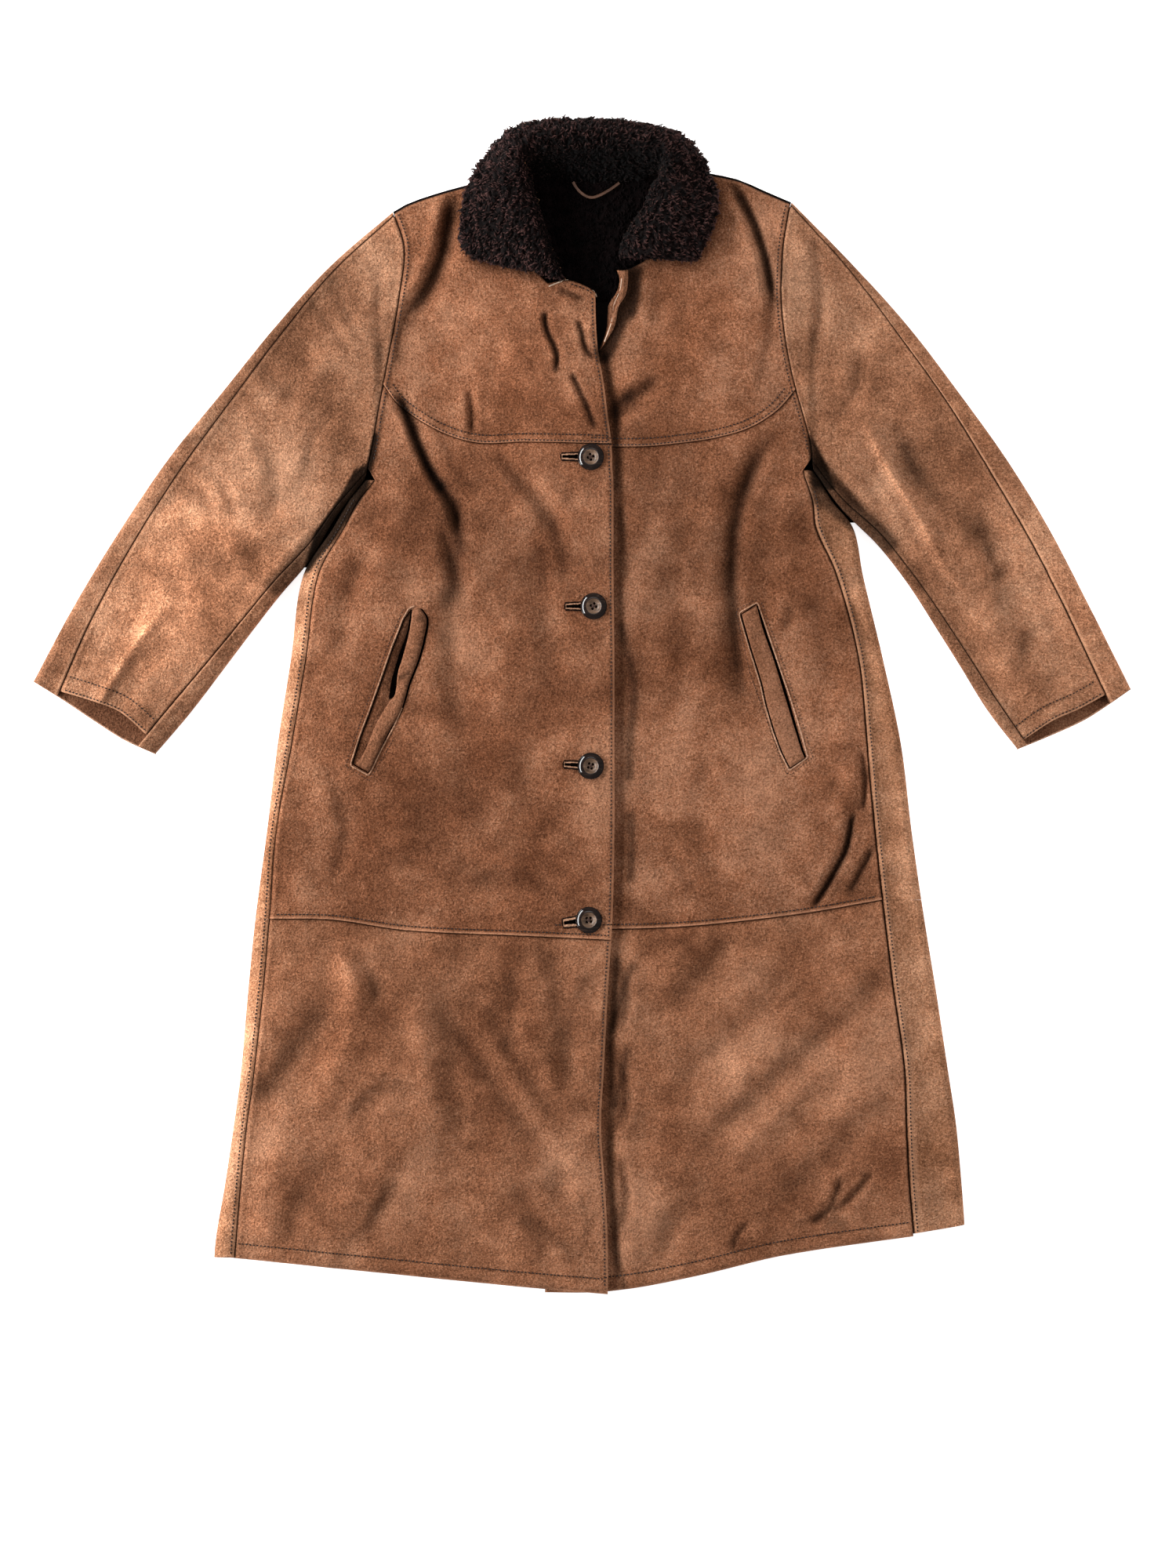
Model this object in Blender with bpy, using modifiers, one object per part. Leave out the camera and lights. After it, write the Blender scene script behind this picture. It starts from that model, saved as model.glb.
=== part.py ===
"""Long shearling coat, laid flat on its back with the fronts up and the fleece collar folded open.

Frame: metres, +Z up.  +Y runs from the hem to the collar, +X from the wearer's right side to the
left, and the origin is on the surface the coat lies on, below the middle of its outline.
Sizes are written in millimetres and scaled once, in place().

Every cloth piece is a wall between an outer and an inner sheet of points.  The back and the back
sleeves lie on the surface and wrap up round both sides to seams on top, as the real cut does.
"""
import math
from collections import namedtuple

import bmesh
import bpy
from mathutils import Vector
from mathutils.bvhtree import BVHTree

MM = 0.001

# ---- driving sizes, mm -------------------------------------------------------------------------
BACK_WALL = 8.5        # skin and clipped wool of the lower layer
FRONT_WALL = 9.0       # skin and clipped wool of the upper layer
LAYER_GAP = 0.5        # between layers that lie on each other
SEAM_GAP = 0.3         # between pieces that are sewn edge to edge
TOP_LEVEL = 18.5       # upper face of the laid coat
FOLD_RADIUS = 9.5      # round side folds, seen in plan
FOLD_WALL = 8.0        # wall at the side folds
EDGE_DROP = 3.5        # how far the upper face sinks towards the side folds
EDGE_REACH = 16.0
UNDERARM_TURN = 13.0   # above the underarm the fronts and back reach out to the armhole in this length
UNDERLAP_LEVEL = 14.0  # upper face of the left front where the right front covers it
OVERLAP_RISE = 1.2
VALLEY_WIDTH = 30.0    # the left front rises to its full level this far beside the placket
PLACKET_MARGIN = 4.0
VALLEY_GAP = 1.6       # between the sleeve's inner fold and the body's side fold at the underarm
ARMHOLE_CLEAR = 0.5    # between the back and the back sleeve at the armhole
WELT_WALL = 2.4
BUTTON_RADIUS = 14.0
LOOP_RADIUS = 1.5

# ---- columns and rows of the walls -------------------------------------------------------------
FRONT_COLUMNS = 11
PLACKET_COLUMNS = 3
YOKE_ROWS = 7
ARMHOLE_ROWS = 4
SIDE_ROWS = 14
SKIRT_ROWS = 9
SLEEVE_ROWS = 14
FOLD_STEPS = 4
SHOULDER_COLUMNS = 2
NECK_COLUMNS = 4

# ---- levels of the body, mm --------------------------------------------------------------------
UNDERARM_RIGHT = 237
UNDERARM_LEFT = 247
YOKE_AT_ARMHOLE_RIGHT = 337
YOKE_AT_ARMHOLE_LEFT = 332

BodySection = namedtuple(
    "BodySection", "y right_side right_seam over_edge under_edge left_seam left_side")
BODY = [
    BodySection(-615, -387, -366, 27, -39, 349, 404),
    BodySection(-560, -384, -362, 27, -39, 347, 401),
    BodySection(-500, -374, -357, 24, -38, 342, 397),
    BodySection(-440, -365, -351, 20, -38, 339, 392),
    BodySection(-380, -357, -343, 23, -38, 337, 383),
    BodySection(-300, -350, -334, 27, -37, 326, 371),
    BodySection(-220, -342, -327, 32, -36, 316, 358),
    BodySection(-130, -330, -320, 34, -35, 306, 345),
    BodySection(-40, -319, -304, 34, -34, 298, 334),
    BodySection(50, -305, -289, 34, -32, 289, 315),
    BodySection(138, -292, -276, 33, -29, 266, 294),
    BodySection(187, -261, -249, 33, -26, 244, 284),
    BodySection(215, -245, -234, 33, -24, 241, 262),
    BodySection(237, -228, -217, 33, -21, 234, 249),
    BodySection(247, -225, -214, 32, -20, 231, 242),
    BodySection(275, -219, -219, 31, -17, 239, 239),
    BodySection(305, -214, -214, 27, -5, 231, 231),
    BodySection(337, -208, -208, 23, 7, 222, 222),
    BodySection(380, -200, -200, 16, 21, 213, 213),
    BodySection(430, -191, -191, 14, 40, 208, 208),
    BodySection(480, -186, -186, 14, 42, 210, 210),
    BodySection(518, -198, -198, 14, 41, 216, 216),
    BodySection(528, -201, -201, 14, 41, 219, 219),
]

# Each row is one cut across a sleeve, from the armhole to the cuff.  The strips are the parts of
# the back sleeve that wrap up round the outer and inner folds, as wide as they show on top.
SleeveSection = namedtuple("SleeveSection", "outer_x outer_y outer_strip inner_strip inner_x inner_y")
RIGHT_SLEEVE = [
    SleeveSection(-198, 518, 10.5, 10.5, -228, 237),
    SleeveSection(-264, 461, 10.5, 13, -259, 196),
    SleeveSection(-322, 397, 11, 17, -285, 153),
    SleeveSection(-377, 329, 14, 18, -317, 115),
    SleeveSection(-432, 261, 18, 18, -348, 75),
    SleeveSection(-481, 189, 20, 19, -378, 35),
    SleeveSection(-530, 109, 24, 21, -411, -8),
    SleeveSection(-574, 27, 30, 20, -446, -49),
]
LEFT_SLEEVE = [
    SleeveSection(219, 528, 10.5, 10.5, 242, 247),
    SleeveSection(280, 466, 10.5, 11, 272, 206),
    SleeveSection(339, 401, 16, 13, 310, 168),
    SleeveSection(392, 332, 19, 13, 341, 128),
    SleeveSection(443, 261, 25, 14, 368, 86),
    SleeveSection(489, 186, 26, 14, 395, 43),
    SleeveSection(532, 103, 26, 14, 424, -4),
    SleeveSection(574, 19, 27, 11, 455, -44),
]

# Seams and edges that run across the coat, as a few points (x, y) on a smooth line.
RIGHT_YOKE_SEAM = [(-208, 337), (-191, 315), (-151, 289), (-110, 276), (-60, 277), (31, 275)]
LEFT_YOKE_SEAM = [(-17, 274), (60, 272), (106, 276), (143, 282), (175, 292), (203, 310), (222, 332)]
RIGHT_SKIRT_SEAM = [(-327, -222), (-260, -223), (-183, -234), (-53, -240), (31, -244)]
LEFT_SKIRT_SEAM = [(-36, -233), (60, -232), (130, -228), (233, -216), (314, -202)]
RIGHT_HEM = [(-364, -577), (-333, -580), (-215, -592), (-84, -605), (27, -614.6)]
LEFT_HEM = [(-39, -613), (27, -612), (113, -597), (211, -574), (346, -554)]
BACK_HEM = [(-385, -575), (-215, -588), (20, -604), (211, -571), (400, -542)]
BACK_SKIRT_SEAM = [(-342, -220), (0, -238), (356, -196)]
RIGHT_SHOULDER = [(-198, 518), (-182, 527), (-150, 538), (-117, 547), (-84, 556)]
LEFT_SHOULDER = [(106, 563), (146, 556), (166, 551), (191, 540), (219, 528)]
RIGHT_NECKLINE = [(-84, 556), (-79, 525), (-67, 490), (-50, 458), (-36, 443)]
LEFT_NECKLINE = [(49, 458), (66, 468), (88, 490), (102, 520), (106, 563)]
RIGHT_NECK_EDGE = [(-36, 443), (-14, 446), (6, 439), (14, 433)]
BACK_NECKLINE = [(-84, 556), (-43, 550), (12, 545), (66, 550), (106, 563)]
RIGHT_CUFF = [(-545, 16), (-507, 4), (-483, -6), (-456, -29)]
RIGHT_CUFF_UNDER = [(-574, 27), (-545, 9), (-509, -15), (-479, -34), (-446, -49)]
LEFT_CUFF = [(547, 13), (521, -2), (492, -15), (460, -37)]
LEFT_CUFF_UNDER = [(574, 19), (531, -10), (505, -23), (455, -44)]

# The largest folds: a trough (negative) or ridge from one end to the other.
Fold = namedtuple("Fold", "x0 y0 x1 y1 height width")
FOLDS = [
    # right front, from the neck down
    Fold(-37, 411, -27, 353, -3.0, 9),
    Fold(-11, 348, 6, 294, -2.0, 8),
    Fold(-125, 510, -150, 411, -3.0, 14),
    Fold(-184, 310, -136, 211, -5.0, 14),
    Fold(-136, 211, -128, 173, -2.5, 15),
    Fold(-87, 182, -87, -127, 2.5, 22),
    Fold(-139, 54, -139, -7, -2.0, 16),
    # left front
    Fold(40, 325, 73, 339, -3.0, 10),
    Fold(162, 542, 191, 493, -3.5, 12),
    Fold(191, 493, 199, 428, -3.0, 12),
    Fold(191, 275, 165, 223, -4.0, 16),
    Fold(165, 223, 157, 61, -4.0, 16),
    Fold(157, 61, 169, 5, -3.0, 16),
    Fold(176, 204, 195, 249, 2.0, 12),
    Fold(248, -202, 278, -146, -3.5, 10),
    Fold(278, -146, 283, -109, -3.0, 10),
    # skirts
    Fold(-281, -335, -338, -409, -3.0, 18),
    Fold(-150, -327, -117, -442, -3.5, 18),
    Fold(-95, -351, -51, -474, -3.0, 16),
    Fold(-223, -540, -182, -491, -3.0, 14),
    Fold(310, -294, 129, -450, -3.5, 20),
    Fold(211, -294, 90, -409, -3.0, 18),
    Fold(318, -409, 195, -524, -3.0, 18),
    # sleeves
    Fold(-285, 423, -228, 347, -3.0, 11),
    Fold(-506, 8, -443, 97, 3.0, 11),
    Fold(301, 285, 337, 220, 3.5, 12),
    Fold(328, 272, 350, 240, -3.5, 12),
]

# The collar is one strip that folds over a roll.  Each kind of section is the middle of its wall,
# as (w, z): w outward from the neck seam, z above the surface.
NECK_STAND = ["side", "corner", "back"]
COLLAR_PATHS = {
    "side": [(-2.5, 13.6), (-12, 15.5), (-22, 19), (-28, 26), (-20, 33), (-4, 34.5), (16, 32),
             (36, 28), (52, 26)],
    "corner": [(-2.5, 10), (-4.5, 16), (-9, 26), (-9, 38), (0, 45), (14, 42), (24, 31), (29, 17),
               (30, 6.6)],
    "back": [(1.5, 6), (12, 12), (26, 24), (38, 36), (50, 41), (58, 32), (59, 18), (47, 7),
             (26, 6.4)],
}
COLLAR_WALLS = [7.5, 8.5, 10, 11, 11, 11, 11, 11, 10]
CollarSection = namedtuple("CollarSection", "seam_x seam_y aim kind inner outer")
COLLAR = [
    CollarSection(-44, 452, 168, 0.0, 28, 74),
    CollarSection(-60, 478, 175, 0.0, 31, 73),
    CollarSection(-74, 512, 184, 0.0, 33, 58),
    CollarSection(-80, 542, 192, 0.2, 30, 50),
    CollarSection(-68, 566, 135, 1.0, 15, 35),
    CollarSection(-43, 552, 105, 1.8, 10, 61),
    CollarSection(12, 547, 90, 2.0, 10, 67.6),
    CollarSection(64, 552, 75, 1.8, 10, 57),
    CollarSection(92, 566, 45, 1.0, 15, 34),
    CollarSection(104, 545, -6, 0.2, 30, 42),
    CollarSection(100, 518, -8, 0.0, 38, 46),
    CollarSection(86, 490, -6, 0.0, 43, 49),
    CollarSection(66, 468, -4, 0.0, 30, 58),
]
COLLAR_STEPS = 2
COLLAR_SPREAD = 22.0

# Pocket welts by their corners: the seam side, then the free side, from the top end down.
Welt = namedtuple("Welt", "node seam_top seam_low free_top free_low bulge")
WELTS = [
    Welt("pocket_welt_right", (-179, 102), (-242, -59), (-163, 90), (-223, -72), 2.0),
    Welt("pocket_welt_left", (166, 99), (216, -65), (183, 106), (235, -53), 0.6),
]
BUTTONS = {"button_top": (9, 261), "button_upper": (12, 105), "button_lower": (9, -62),
           "button_bottom": (7, -223)}
HANGER_LOOP = [(-9, 543), (-7, 538), (-2, 534), (4, 532), (10, 531.5), (17, 532), (25, 534.5),
               (33, 538.5), (39, 543)]

COLOURS = {
    "suede": ((0.235, 0.112, 0.055), 0.88),
    "fleece": ((0.022, 0.013, 0.012), 0.95),
    "horn": ((0.020, 0.012, 0.010), 0.25),
    "loop": ((0.16, 0.075, 0.04), 0.55),
}


# ---- scene, materials and mesh making ----------------------------------------------------------
def clear_scene():
    for item in list(bpy.data.objects):
        bpy.data.objects.remove(item, do_unlink=True)


def new_collection(name):
    collection = bpy.data.collections.new(name)
    bpy.context.scene.collection.children.link(collection)
    return collection


def material(node, finish):
    colour, roughness = COLOURS[finish]
    made = bpy.data.materials.new(node)
    made.use_nodes = True
    shader = made.node_tree.nodes["Principled BSDF"]
    shader.inputs["Base Color"].default_value = (*colour, 1.0)
    shader.inputs["Roughness"].default_value = roughness
    shader.inputs["Metallic"].default_value = 0.0
    return made


def place(point):
    return Vector(point) * MM


def add_object(node, mesh, finish):
    """Put a finished mesh in the coat's collection under its node's name."""
    made = bpy.data.objects.new(node, mesh)
    mesh.materials.clear()
    mesh.materials.append(material(node, finish))
    COAT.objects.link(made)
    return made


def wall(node, outer, inner, finish="suede", keep=lambda row, column: True):
    """Close the space between two sheets of points (rows of columns) into one solid.

    keep says which cells of the sheets are cloth, where they aren't a full rectangle.
    """
    cells = [(j, i) for j in range(len(outer) - 1) for i in range(len(outer[0]) - 1) if keep(j, i)]
    bm = bmesh.new()
    made = {}

    def corner(sheet, j, i):
        if (sheet, j, i) not in made:
            made[sheet, j, i] = bm.verts.new(place((outer, inner)[sheet][j][i]))
        return made[sheet, j, i]

    edges = set()
    for j, i in cells:
        for sheet in (0, 1):
            a, b, c, d = (corner(sheet, *spot) for spot in ((j, i), (j, i + 1), (j + 1, i + 1), (j + 1, i)))
            bm.faces.new((a, b, c))
            bm.faces.new((a, c, d))
        loop = [(j, i), (j, i + 1), (j + 1, i + 1), (j + 1, i)]
        edges.update(zip(loop, loop[1:] + loop[:1]))
    for start, end in sorted(edges):
        if (end, start) not in edges:
            bm.faces.new((corner(0, *start), corner(1, *start), corner(1, *end)))
            bm.faces.new((corner(0, *start), corner(1, *end), corner(0, *end)))
    bmesh.ops.recalc_face_normals(bm, faces=bm.faces)
    mesh = bpy.data.meshes.new(node)
    bm.to_mesh(mesh)
    bm.free()
    mesh.shade_smooth()
    mesh.set_sharp_from_angle(angle=math.radians(40))
    return add_object(node, mesh, finish)


# ---- lines in plan -----------------------------------------------------------------------------
class Line:
    """A smooth line through a few points, read by its length or by its y."""

    SPAN_STEPS = 10

    def __init__(self, points):
        points = [tuple(p) for p in points]
        ends = [points[0]] + points + [points[-1]]
        self.points = []
        for p0, p1, p2, p3 in zip(ends, ends[1:], ends[2:], ends[3:]):
            for step in range(self.SPAN_STEPS):
                self.points.append(self.blend(p0, p1, p2, p3, step / self.SPAN_STEPS))
        self.points.append(points[-1])
        self.lengths = [0.0]
        for a, b in zip(self.points, self.points[1:]):
            self.lengths.append(self.lengths[-1] + math.dist(a, b))

    @staticmethod
    def blend(p0, p1, p2, p3, t):
        span = max(math.dist(p1, p2), 1e-6)
        before = max(math.dist(p0, p1), span * 0.5)
        after = max(math.dist(p2, p3), span * 0.5)
        found = []
        for a, b, c, d in zip(p0, p1, p2, p3):
            start = (c - a) * span / (before + span)
            end = (d - b) * span / (span + after)
            found.append((2 * t**3 - 3 * t**2 + 1) * b + (t**3 - 2 * t**2 + t) * start
                         + (3 * t**2 - 2 * t**3) * c + (t**3 - t**2) * end)
        return tuple(found)

    def at(self, fraction):
        wanted = min(max(fraction, 0.0), 1.0) * self.lengths[-1]
        for a, b, la, lb in zip(self.points, self.points[1:], self.lengths, self.lengths[1:]):
            if wanted <= lb:
                t = (wanted - la) / max(lb - la, 1e-9)
                return tuple(u + (v - u) * t for u, v in zip(a, b))
        return self.points[-1]

    def x_at(self, y):
        for a, b in zip(self.points, self.points[1:]):
            if a[1] <= y <= b[1]:
                return a[0] + (b[0] - a[0]) * (y - a[1]) / max(b[1] - a[1], 1e-9)
        return self.points[0][0] if y < self.points[0][1] else self.points[-1][0]

    def stations(self, count):
        return [self.at(step / count) for step in range(count + 1)]

    def between(self, low, high, count):
        """Points at equal steps of y, for a line that climbs."""
        levels = [low + (high - low) * step / count for step in range(count + 1)]
        return [(self.x_at(y), y) for y in levels]


def body_line(column):
    return Line([(getattr(row, column), row.y) for row in BODY])


def armhole_points(side_line, underarm, yoke_level, top):
    """The armhole seam's stations, which the fronts, the back and the sleeve share."""
    return join([(side_line.x_at(underarm), underarm)],
                side_line.between(underarm, underarm + UNDERARM_TURN, 1),
                side_line.between(underarm + UNDERARM_TURN, yoke_level, ARMHOLE_ROWS),
                side_line.between(yoke_level, top, YOKE_ROWS))


def join(*parts):
    """Run point lists together where one's last point is the next one's first."""
    joined = list(parts[0])
    for part in parts[1:]:
        joined += list(part[1:])
    return joined


def on_points(points, fraction):
    """The spot at a share of the length of a run of straight pieces."""
    lengths = [math.dist(a, b) for a, b in zip(points, points[1:])]
    wanted = min(max(fraction, 0.0), 1.0) * sum(lengths)
    for a, b, length in zip(points, points[1:], lengths):
        if wanted <= length:
            return mix(a, b, wanted / length)
        wanted -= length
    return points[-1]


def mix(a, b, t):
    return tuple(u + (v - u) * t for u, v in zip(a, b))


def shares_of(points):
    """How far along a run each of its points is, from 0 to 1."""
    lengths = [0.0]
    for a, b in zip(points, points[1:]):
        lengths.append(lengths[-1] + math.dist(a, b))
    return [length / lengths[-1] for length in lengths]


def fill(left, right, low, high):
    """Rows of plan points between four edges: left and right climb, low and high run across."""
    columns = len(low)
    grid = []
    for j, pair in enumerate(zip(shares_of(left), shares_of(right))):
        v = sum(pair) / 2
        line = []
        for i in range(columns):
            u = i / (columns - 1)
            across = mix(left[j], right[j], u)
            along = mix(low[i], high[i], v)
            corners = mix(mix(low[0], low[-1], u), mix(high[0], high[-1], u), v)
            line.append(tuple(a + b - c for a, b, c in zip(across, along, corners)))
        grid.append(line)
    return grid


def pull_in(grid, distance=SEAM_GAP / 2):
    """Move the rim of a plan grid inward, square to its edges, to leave the seam gap."""
    rows, columns = len(grid), len(grid[0])

    def inward(j, i, dj, di):
        here = grid[j][i]
        before = grid[max(j - abs(di), 0)][max(i - abs(dj), 0)]
        after = grid[min(j + abs(di), rows - 1)][min(i + abs(dj), columns - 1)]
        tangent = (after[0] - before[0], after[1] - before[1])
        size = math.hypot(*tangent)
        normal = (-tangent[1] / size, tangent[0] / size)
        inside = grid[j + dj][i + di]
        side = normal[0] * (inside[0] - here[0]) + normal[1] * (inside[1] - here[1])
        sign = distance if side > 0 else -distance
        return (normal[0] * sign, normal[1] * sign)

    moved = [list(row) for row in grid]
    for j in range(rows):
        for i in range(columns):
            shifts = []
            if j == 0:
                shifts.append(inward(j, i, 1, 0))
            if j == rows - 1:
                shifts.append(inward(j, i, -1, 0))
            if i == 0:
                shifts.append(inward(j, i, 0, 1))
            if i == columns - 1:
                shifts.append(inward(j, i, 0, -1))
            for shift in shifts:
                moved[j][i] = (moved[j][i][0] + shift[0], moved[j][i][1] + shift[1])
    return moved


RIGHT_SIDE = body_line("right_side")
RIGHT_SEAM = body_line("right_seam")
OVER_EDGE = body_line("over_edge")
UNDER_EDGE = body_line("under_edge")
LEFT_SEAM = body_line("left_seam")
LEFT_SIDE = body_line("left_side")
RIGHT_ARMHOLE = armhole_points(RIGHT_SIDE, UNDERARM_RIGHT, YOKE_AT_ARMHOLE_RIGHT, 518)
LEFT_ARMHOLE = armhole_points(LEFT_SIDE, UNDERARM_LEFT, YOKE_AT_ARMHOLE_LEFT, 528)


# ---- heights -----------------------------------------------------------------------------------
def segment_gap(x, y, a, b):
    """Distance from a point to a straight piece, and how far along it the nearest point is."""
    run = (b[0] - a[0], b[1] - a[1])
    along = ((x - a[0]) * run[0] + (y - a[1]) * run[1]) / max(run[0]**2 + run[1]**2, 1e-9)
    t = min(max(along, 0.0), 1.0)
    return math.hypot(x - a[0] - run[0] * t, y - a[1] - run[1] * t), along


def outline_lines():
    """The folded edges of the laid coat in plan."""
    lines = [RIGHT_SIDE.between(-615, UNDERARM_RIGHT, 24), LEFT_SIDE.between(-615, UNDERARM_LEFT, 24),
             Line(RIGHT_SHOULDER).stations(6), Line(LEFT_SHOULDER).stations(6)]
    for rows in (RIGHT_SLEEVE, LEFT_SLEEVE):
        lines.append(Line([(row.outer_x, row.outer_y) for row in rows]).stations(12))
        lines.append(Line([(row.inner_x, row.inner_y) for row in rows]).stations(12))
    return lines


OUTLINE = outline_lines()


def ease(t):
    t = min(max(t, 0.0), 1.0)
    return t * t * (3 - 2 * t)


def relief(x, y):
    total = 0.0
    for fold in FOLDS:
        gap, along = segment_gap(x, y, (fold.x0, fold.y0), (fold.x1, fold.y1))
        if gap < 3 * fold.width:
            fade = 1.0 - 0.45 * min(abs(2 * along - 1), 1.0)
            total += fold.height * fade * math.exp(-(gap / fold.width)**2)
    return total


def edge_drop(x, y):
    gap = min(segment_gap(x, y, a, b)[0] for line in OUTLINE for a, b in zip(line, line[1:]))
    return EDGE_DROP * math.exp(-gap / EDGE_REACH)


def level(x, y):
    """Upper face of the sleeves and of the back where it wraps up."""
    return TOP_LEVEL + relief(x, y) - edge_drop(x, y)


def over_level(x, y):
    """Upper face of the right front, which lies over the left at the placket."""
    rise = OVERLAP_RISE * ease((x - UNDER_EDGE.x_at(min(y, 275)) + 70) / 60)
    rolled = 1.0 * math.exp(-max(OVER_EDGE.x_at(y) - x, 0.0) / 5)
    return level(x, y) + rise - rolled


def under_level(x, y):
    """Upper face of the left front, pressed down beside and below the placket."""
    pressed = ease((x - OVER_EDGE.x_at(y) - PLACKET_MARGIN) / VALLEY_WIDTH)
    lip = 4.5 * ease((y - 375) / 40) * math.exp(-((x - UNDER_EDGE.x_at(y)) / 6)**2)
    full = level(x, y)
    return UNDERLAP_LEVEL + (full - UNDERLAP_LEVEL) * pressed + lip


def lower_face(x, y, upper, floor=BACK_WALL + LAYER_GAP):
    return max(floor, upper - FRONT_WALL)


def over_floor(x, y):
    """The right front's lower face clears the left front where it lies on it."""
    covers = x > UNDER_EDGE.x_at(y) - PLACKET_MARGIN - 1.0 and y < 380
    near_edge = x > OVER_EDGE.x_at(y) - 12
    return UNDERLAP_LEVEL + 0.6 if covers or near_edge else BACK_WALL + LAYER_GAP


# ---- panels ------------------------------------------------------------------------------------
def lay_panel(node, grid, upper, floor=None):
    """One flat-laid front panel from its plan grid and the function of its upper face."""
    grid = pull_in(grid)
    outer = []
    inner = []
    for row in grid:
        tops = [upper(x, y) for x, y in row]
        floors = [floor(x, y) if floor else BACK_WALL + LAYER_GAP for x, y in row]
        outer.append([(x, y, z) for (x, y), z in zip(row, tops)])
        inner.append([(x, y, lower_face(x, y, z, f)) for (x, y), z, f in zip(row, tops, floors)])
    return wall(node, outer, inner)


def two_part_grid(left, guide, right, low, high, split):
    """Fill a panel on both sides of a guide line that climbs through column `split`."""
    first = fill(left, guide, low[:split + 1], high[:split + 1])
    second = fill(guide, right, low[split:], high[split:])
    return [a + b[1:] for a, b in zip(first, second)]


def seam_points(points, guide_x, left_count, right_count):
    """Stations along a cross seam with one of them where it meets the guide line."""
    line = Line(points)
    steps = 200
    nearest = min(range(steps + 1), key=lambda s: abs(line.at(s / steps)[0] - guide_x))
    turn = nearest / steps
    first = [line.at(turn * s / left_count) for s in range(left_count + 1)]
    second = [line.at(turn + (1 - turn) * s / right_count) for s in range(right_count + 1)]
    return join(first, second)


def over_guide(y):
    return min(UNDER_EDGE.x_at(y) - PLACKET_MARGIN, OVER_EDGE.x_at(y) - 8)


def under_guide(y):
    return max(OVER_EDGE.x_at(y) + PLACKET_MARGIN, UNDER_EDGE.x_at(y) + 8)


def guide_climb(guide, low, high, edge):
    """Points on a guide from low to high, spaced up it as the edge's points are."""
    rise = edge[-1][1] - edge[0][1]
    levels = [low[1] + (high[1] - low[1]) * (y - edge[0][1]) / rise for _, y in edge[1:-1]]
    return [low] + [(guide(y), y) for y in levels] + [high]


def right_fronts():
    """Yoke, front and skirt of the wearer's right, whose placket lies on top."""
    split = FRONT_COLUMNS
    hem = seam_points(RIGHT_HEM, over_guide(-605), FRONT_COLUMNS, PLACKET_COLUMNS)
    skirt = seam_points(RIGHT_SKIRT_SEAM, over_guide(-243), FRONT_COLUMNS, PLACKET_COLUMNS)
    yoke = seam_points(RIGHT_YOKE_SEAM, over_guide(275), FRONT_COLUMNS, PLACKET_COLUMNS)
    neck = join(Line(RIGHT_SHOULDER).stations(4), Line(RIGHT_NECKLINE).stations(5),
                Line(RIGHT_NECK_EDGE[:3]).stations(2), Line(RIGHT_NECK_EDGE[2:]).stations(3))
    skirt_left = RIGHT_SEAM.between(hem[0][1], skirt[0][1], SKIRT_ROWS)
    front_left = (RIGHT_SEAM.between(skirt[0][1], UNDERARM_RIGHT, SIDE_ROWS)
                  + RIGHT_ARMHOLE[1:ARMHOLE_ROWS + 2])
    yoke_left = RIGHT_ARMHOLE[ARMHOLE_ROWS + 1:]
    pieces = [("skirt_front_right", skirt_left, hem, skirt),
              ("front_right", front_left, skirt, yoke),
              ("yoke_right", yoke_left, yoke, neck)]
    for node, left, low, high in pieces:
        guide = guide_climb(over_guide, low[split], high[split], left)
        right = guide_climb(OVER_EDGE.x_at, low[-1], high[-1], left)
        grid = two_part_grid(left, guide, right, low, high, split)
        lay_panel(node, grid, over_level, over_floor)


def left_fronts():
    """Yoke, front and skirt of the wearer's left, whose edge lies under the placket."""
    split = PLACKET_COLUMNS
    hem = seam_points(LEFT_HEM, under_guide(-612), PLACKET_COLUMNS, FRONT_COLUMNS)
    skirt = seam_points(LEFT_SKIRT_SEAM, under_guide(-232), PLACKET_COLUMNS, FRONT_COLUMNS)
    yoke = seam_points(LEFT_YOKE_SEAM, under_guide(273), PLACKET_COLUMNS, FRONT_COLUMNS)
    neck = join(Line([(41, 456), (49, 458)]).stations(3), Line(LEFT_NECKLINE).stations(7),
                Line(LEFT_SHOULDER).stations(4))
    skirt_right = LEFT_SEAM.between(hem[-1][1], skirt[-1][1], SKIRT_ROWS)
    front_right = (LEFT_SEAM.between(skirt[-1][1], UNDERARM_LEFT, SIDE_ROWS)
                   + LEFT_ARMHOLE[1:ARMHOLE_ROWS + 2])
    yoke_right = LEFT_ARMHOLE[ARMHOLE_ROWS + 1:]
    pieces = [("skirt_front_left", skirt_right, hem, skirt),
              ("front_left", front_right, skirt, yoke),
              ("yoke_left", yoke_right, yoke, neck)]
    for node, right, low, high in pieces:
        left = guide_climb(UNDER_EDGE.x_at, low[0], high[0], right)
        guide = guide_climb(under_guide, low[split], high[split], right)
        grid = two_part_grid(left, guide, right, low, high, split)
        lay_panel(node, grid, under_level)


def fold_profile(crown, slit_high):
    """A side fold in section: (reach from the fold, height) outside and inside, foot first."""
    found = []
    for step in range(FOLD_STEPS + 1):
        turn = math.pi * (step / FOLD_STEPS - 0.5)
        swing = 1 - math.cos(turn)
        share = (1 + math.sin(turn)) / 2
        found.append(((FOLD_RADIUS * swing, crown * share),
                      (FOLD_WALL + (FOLD_RADIUS - FOLD_WALL) * swing,
                       BACK_WALL + (slit_high - BACK_WALL) * share)))
    return found


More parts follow.
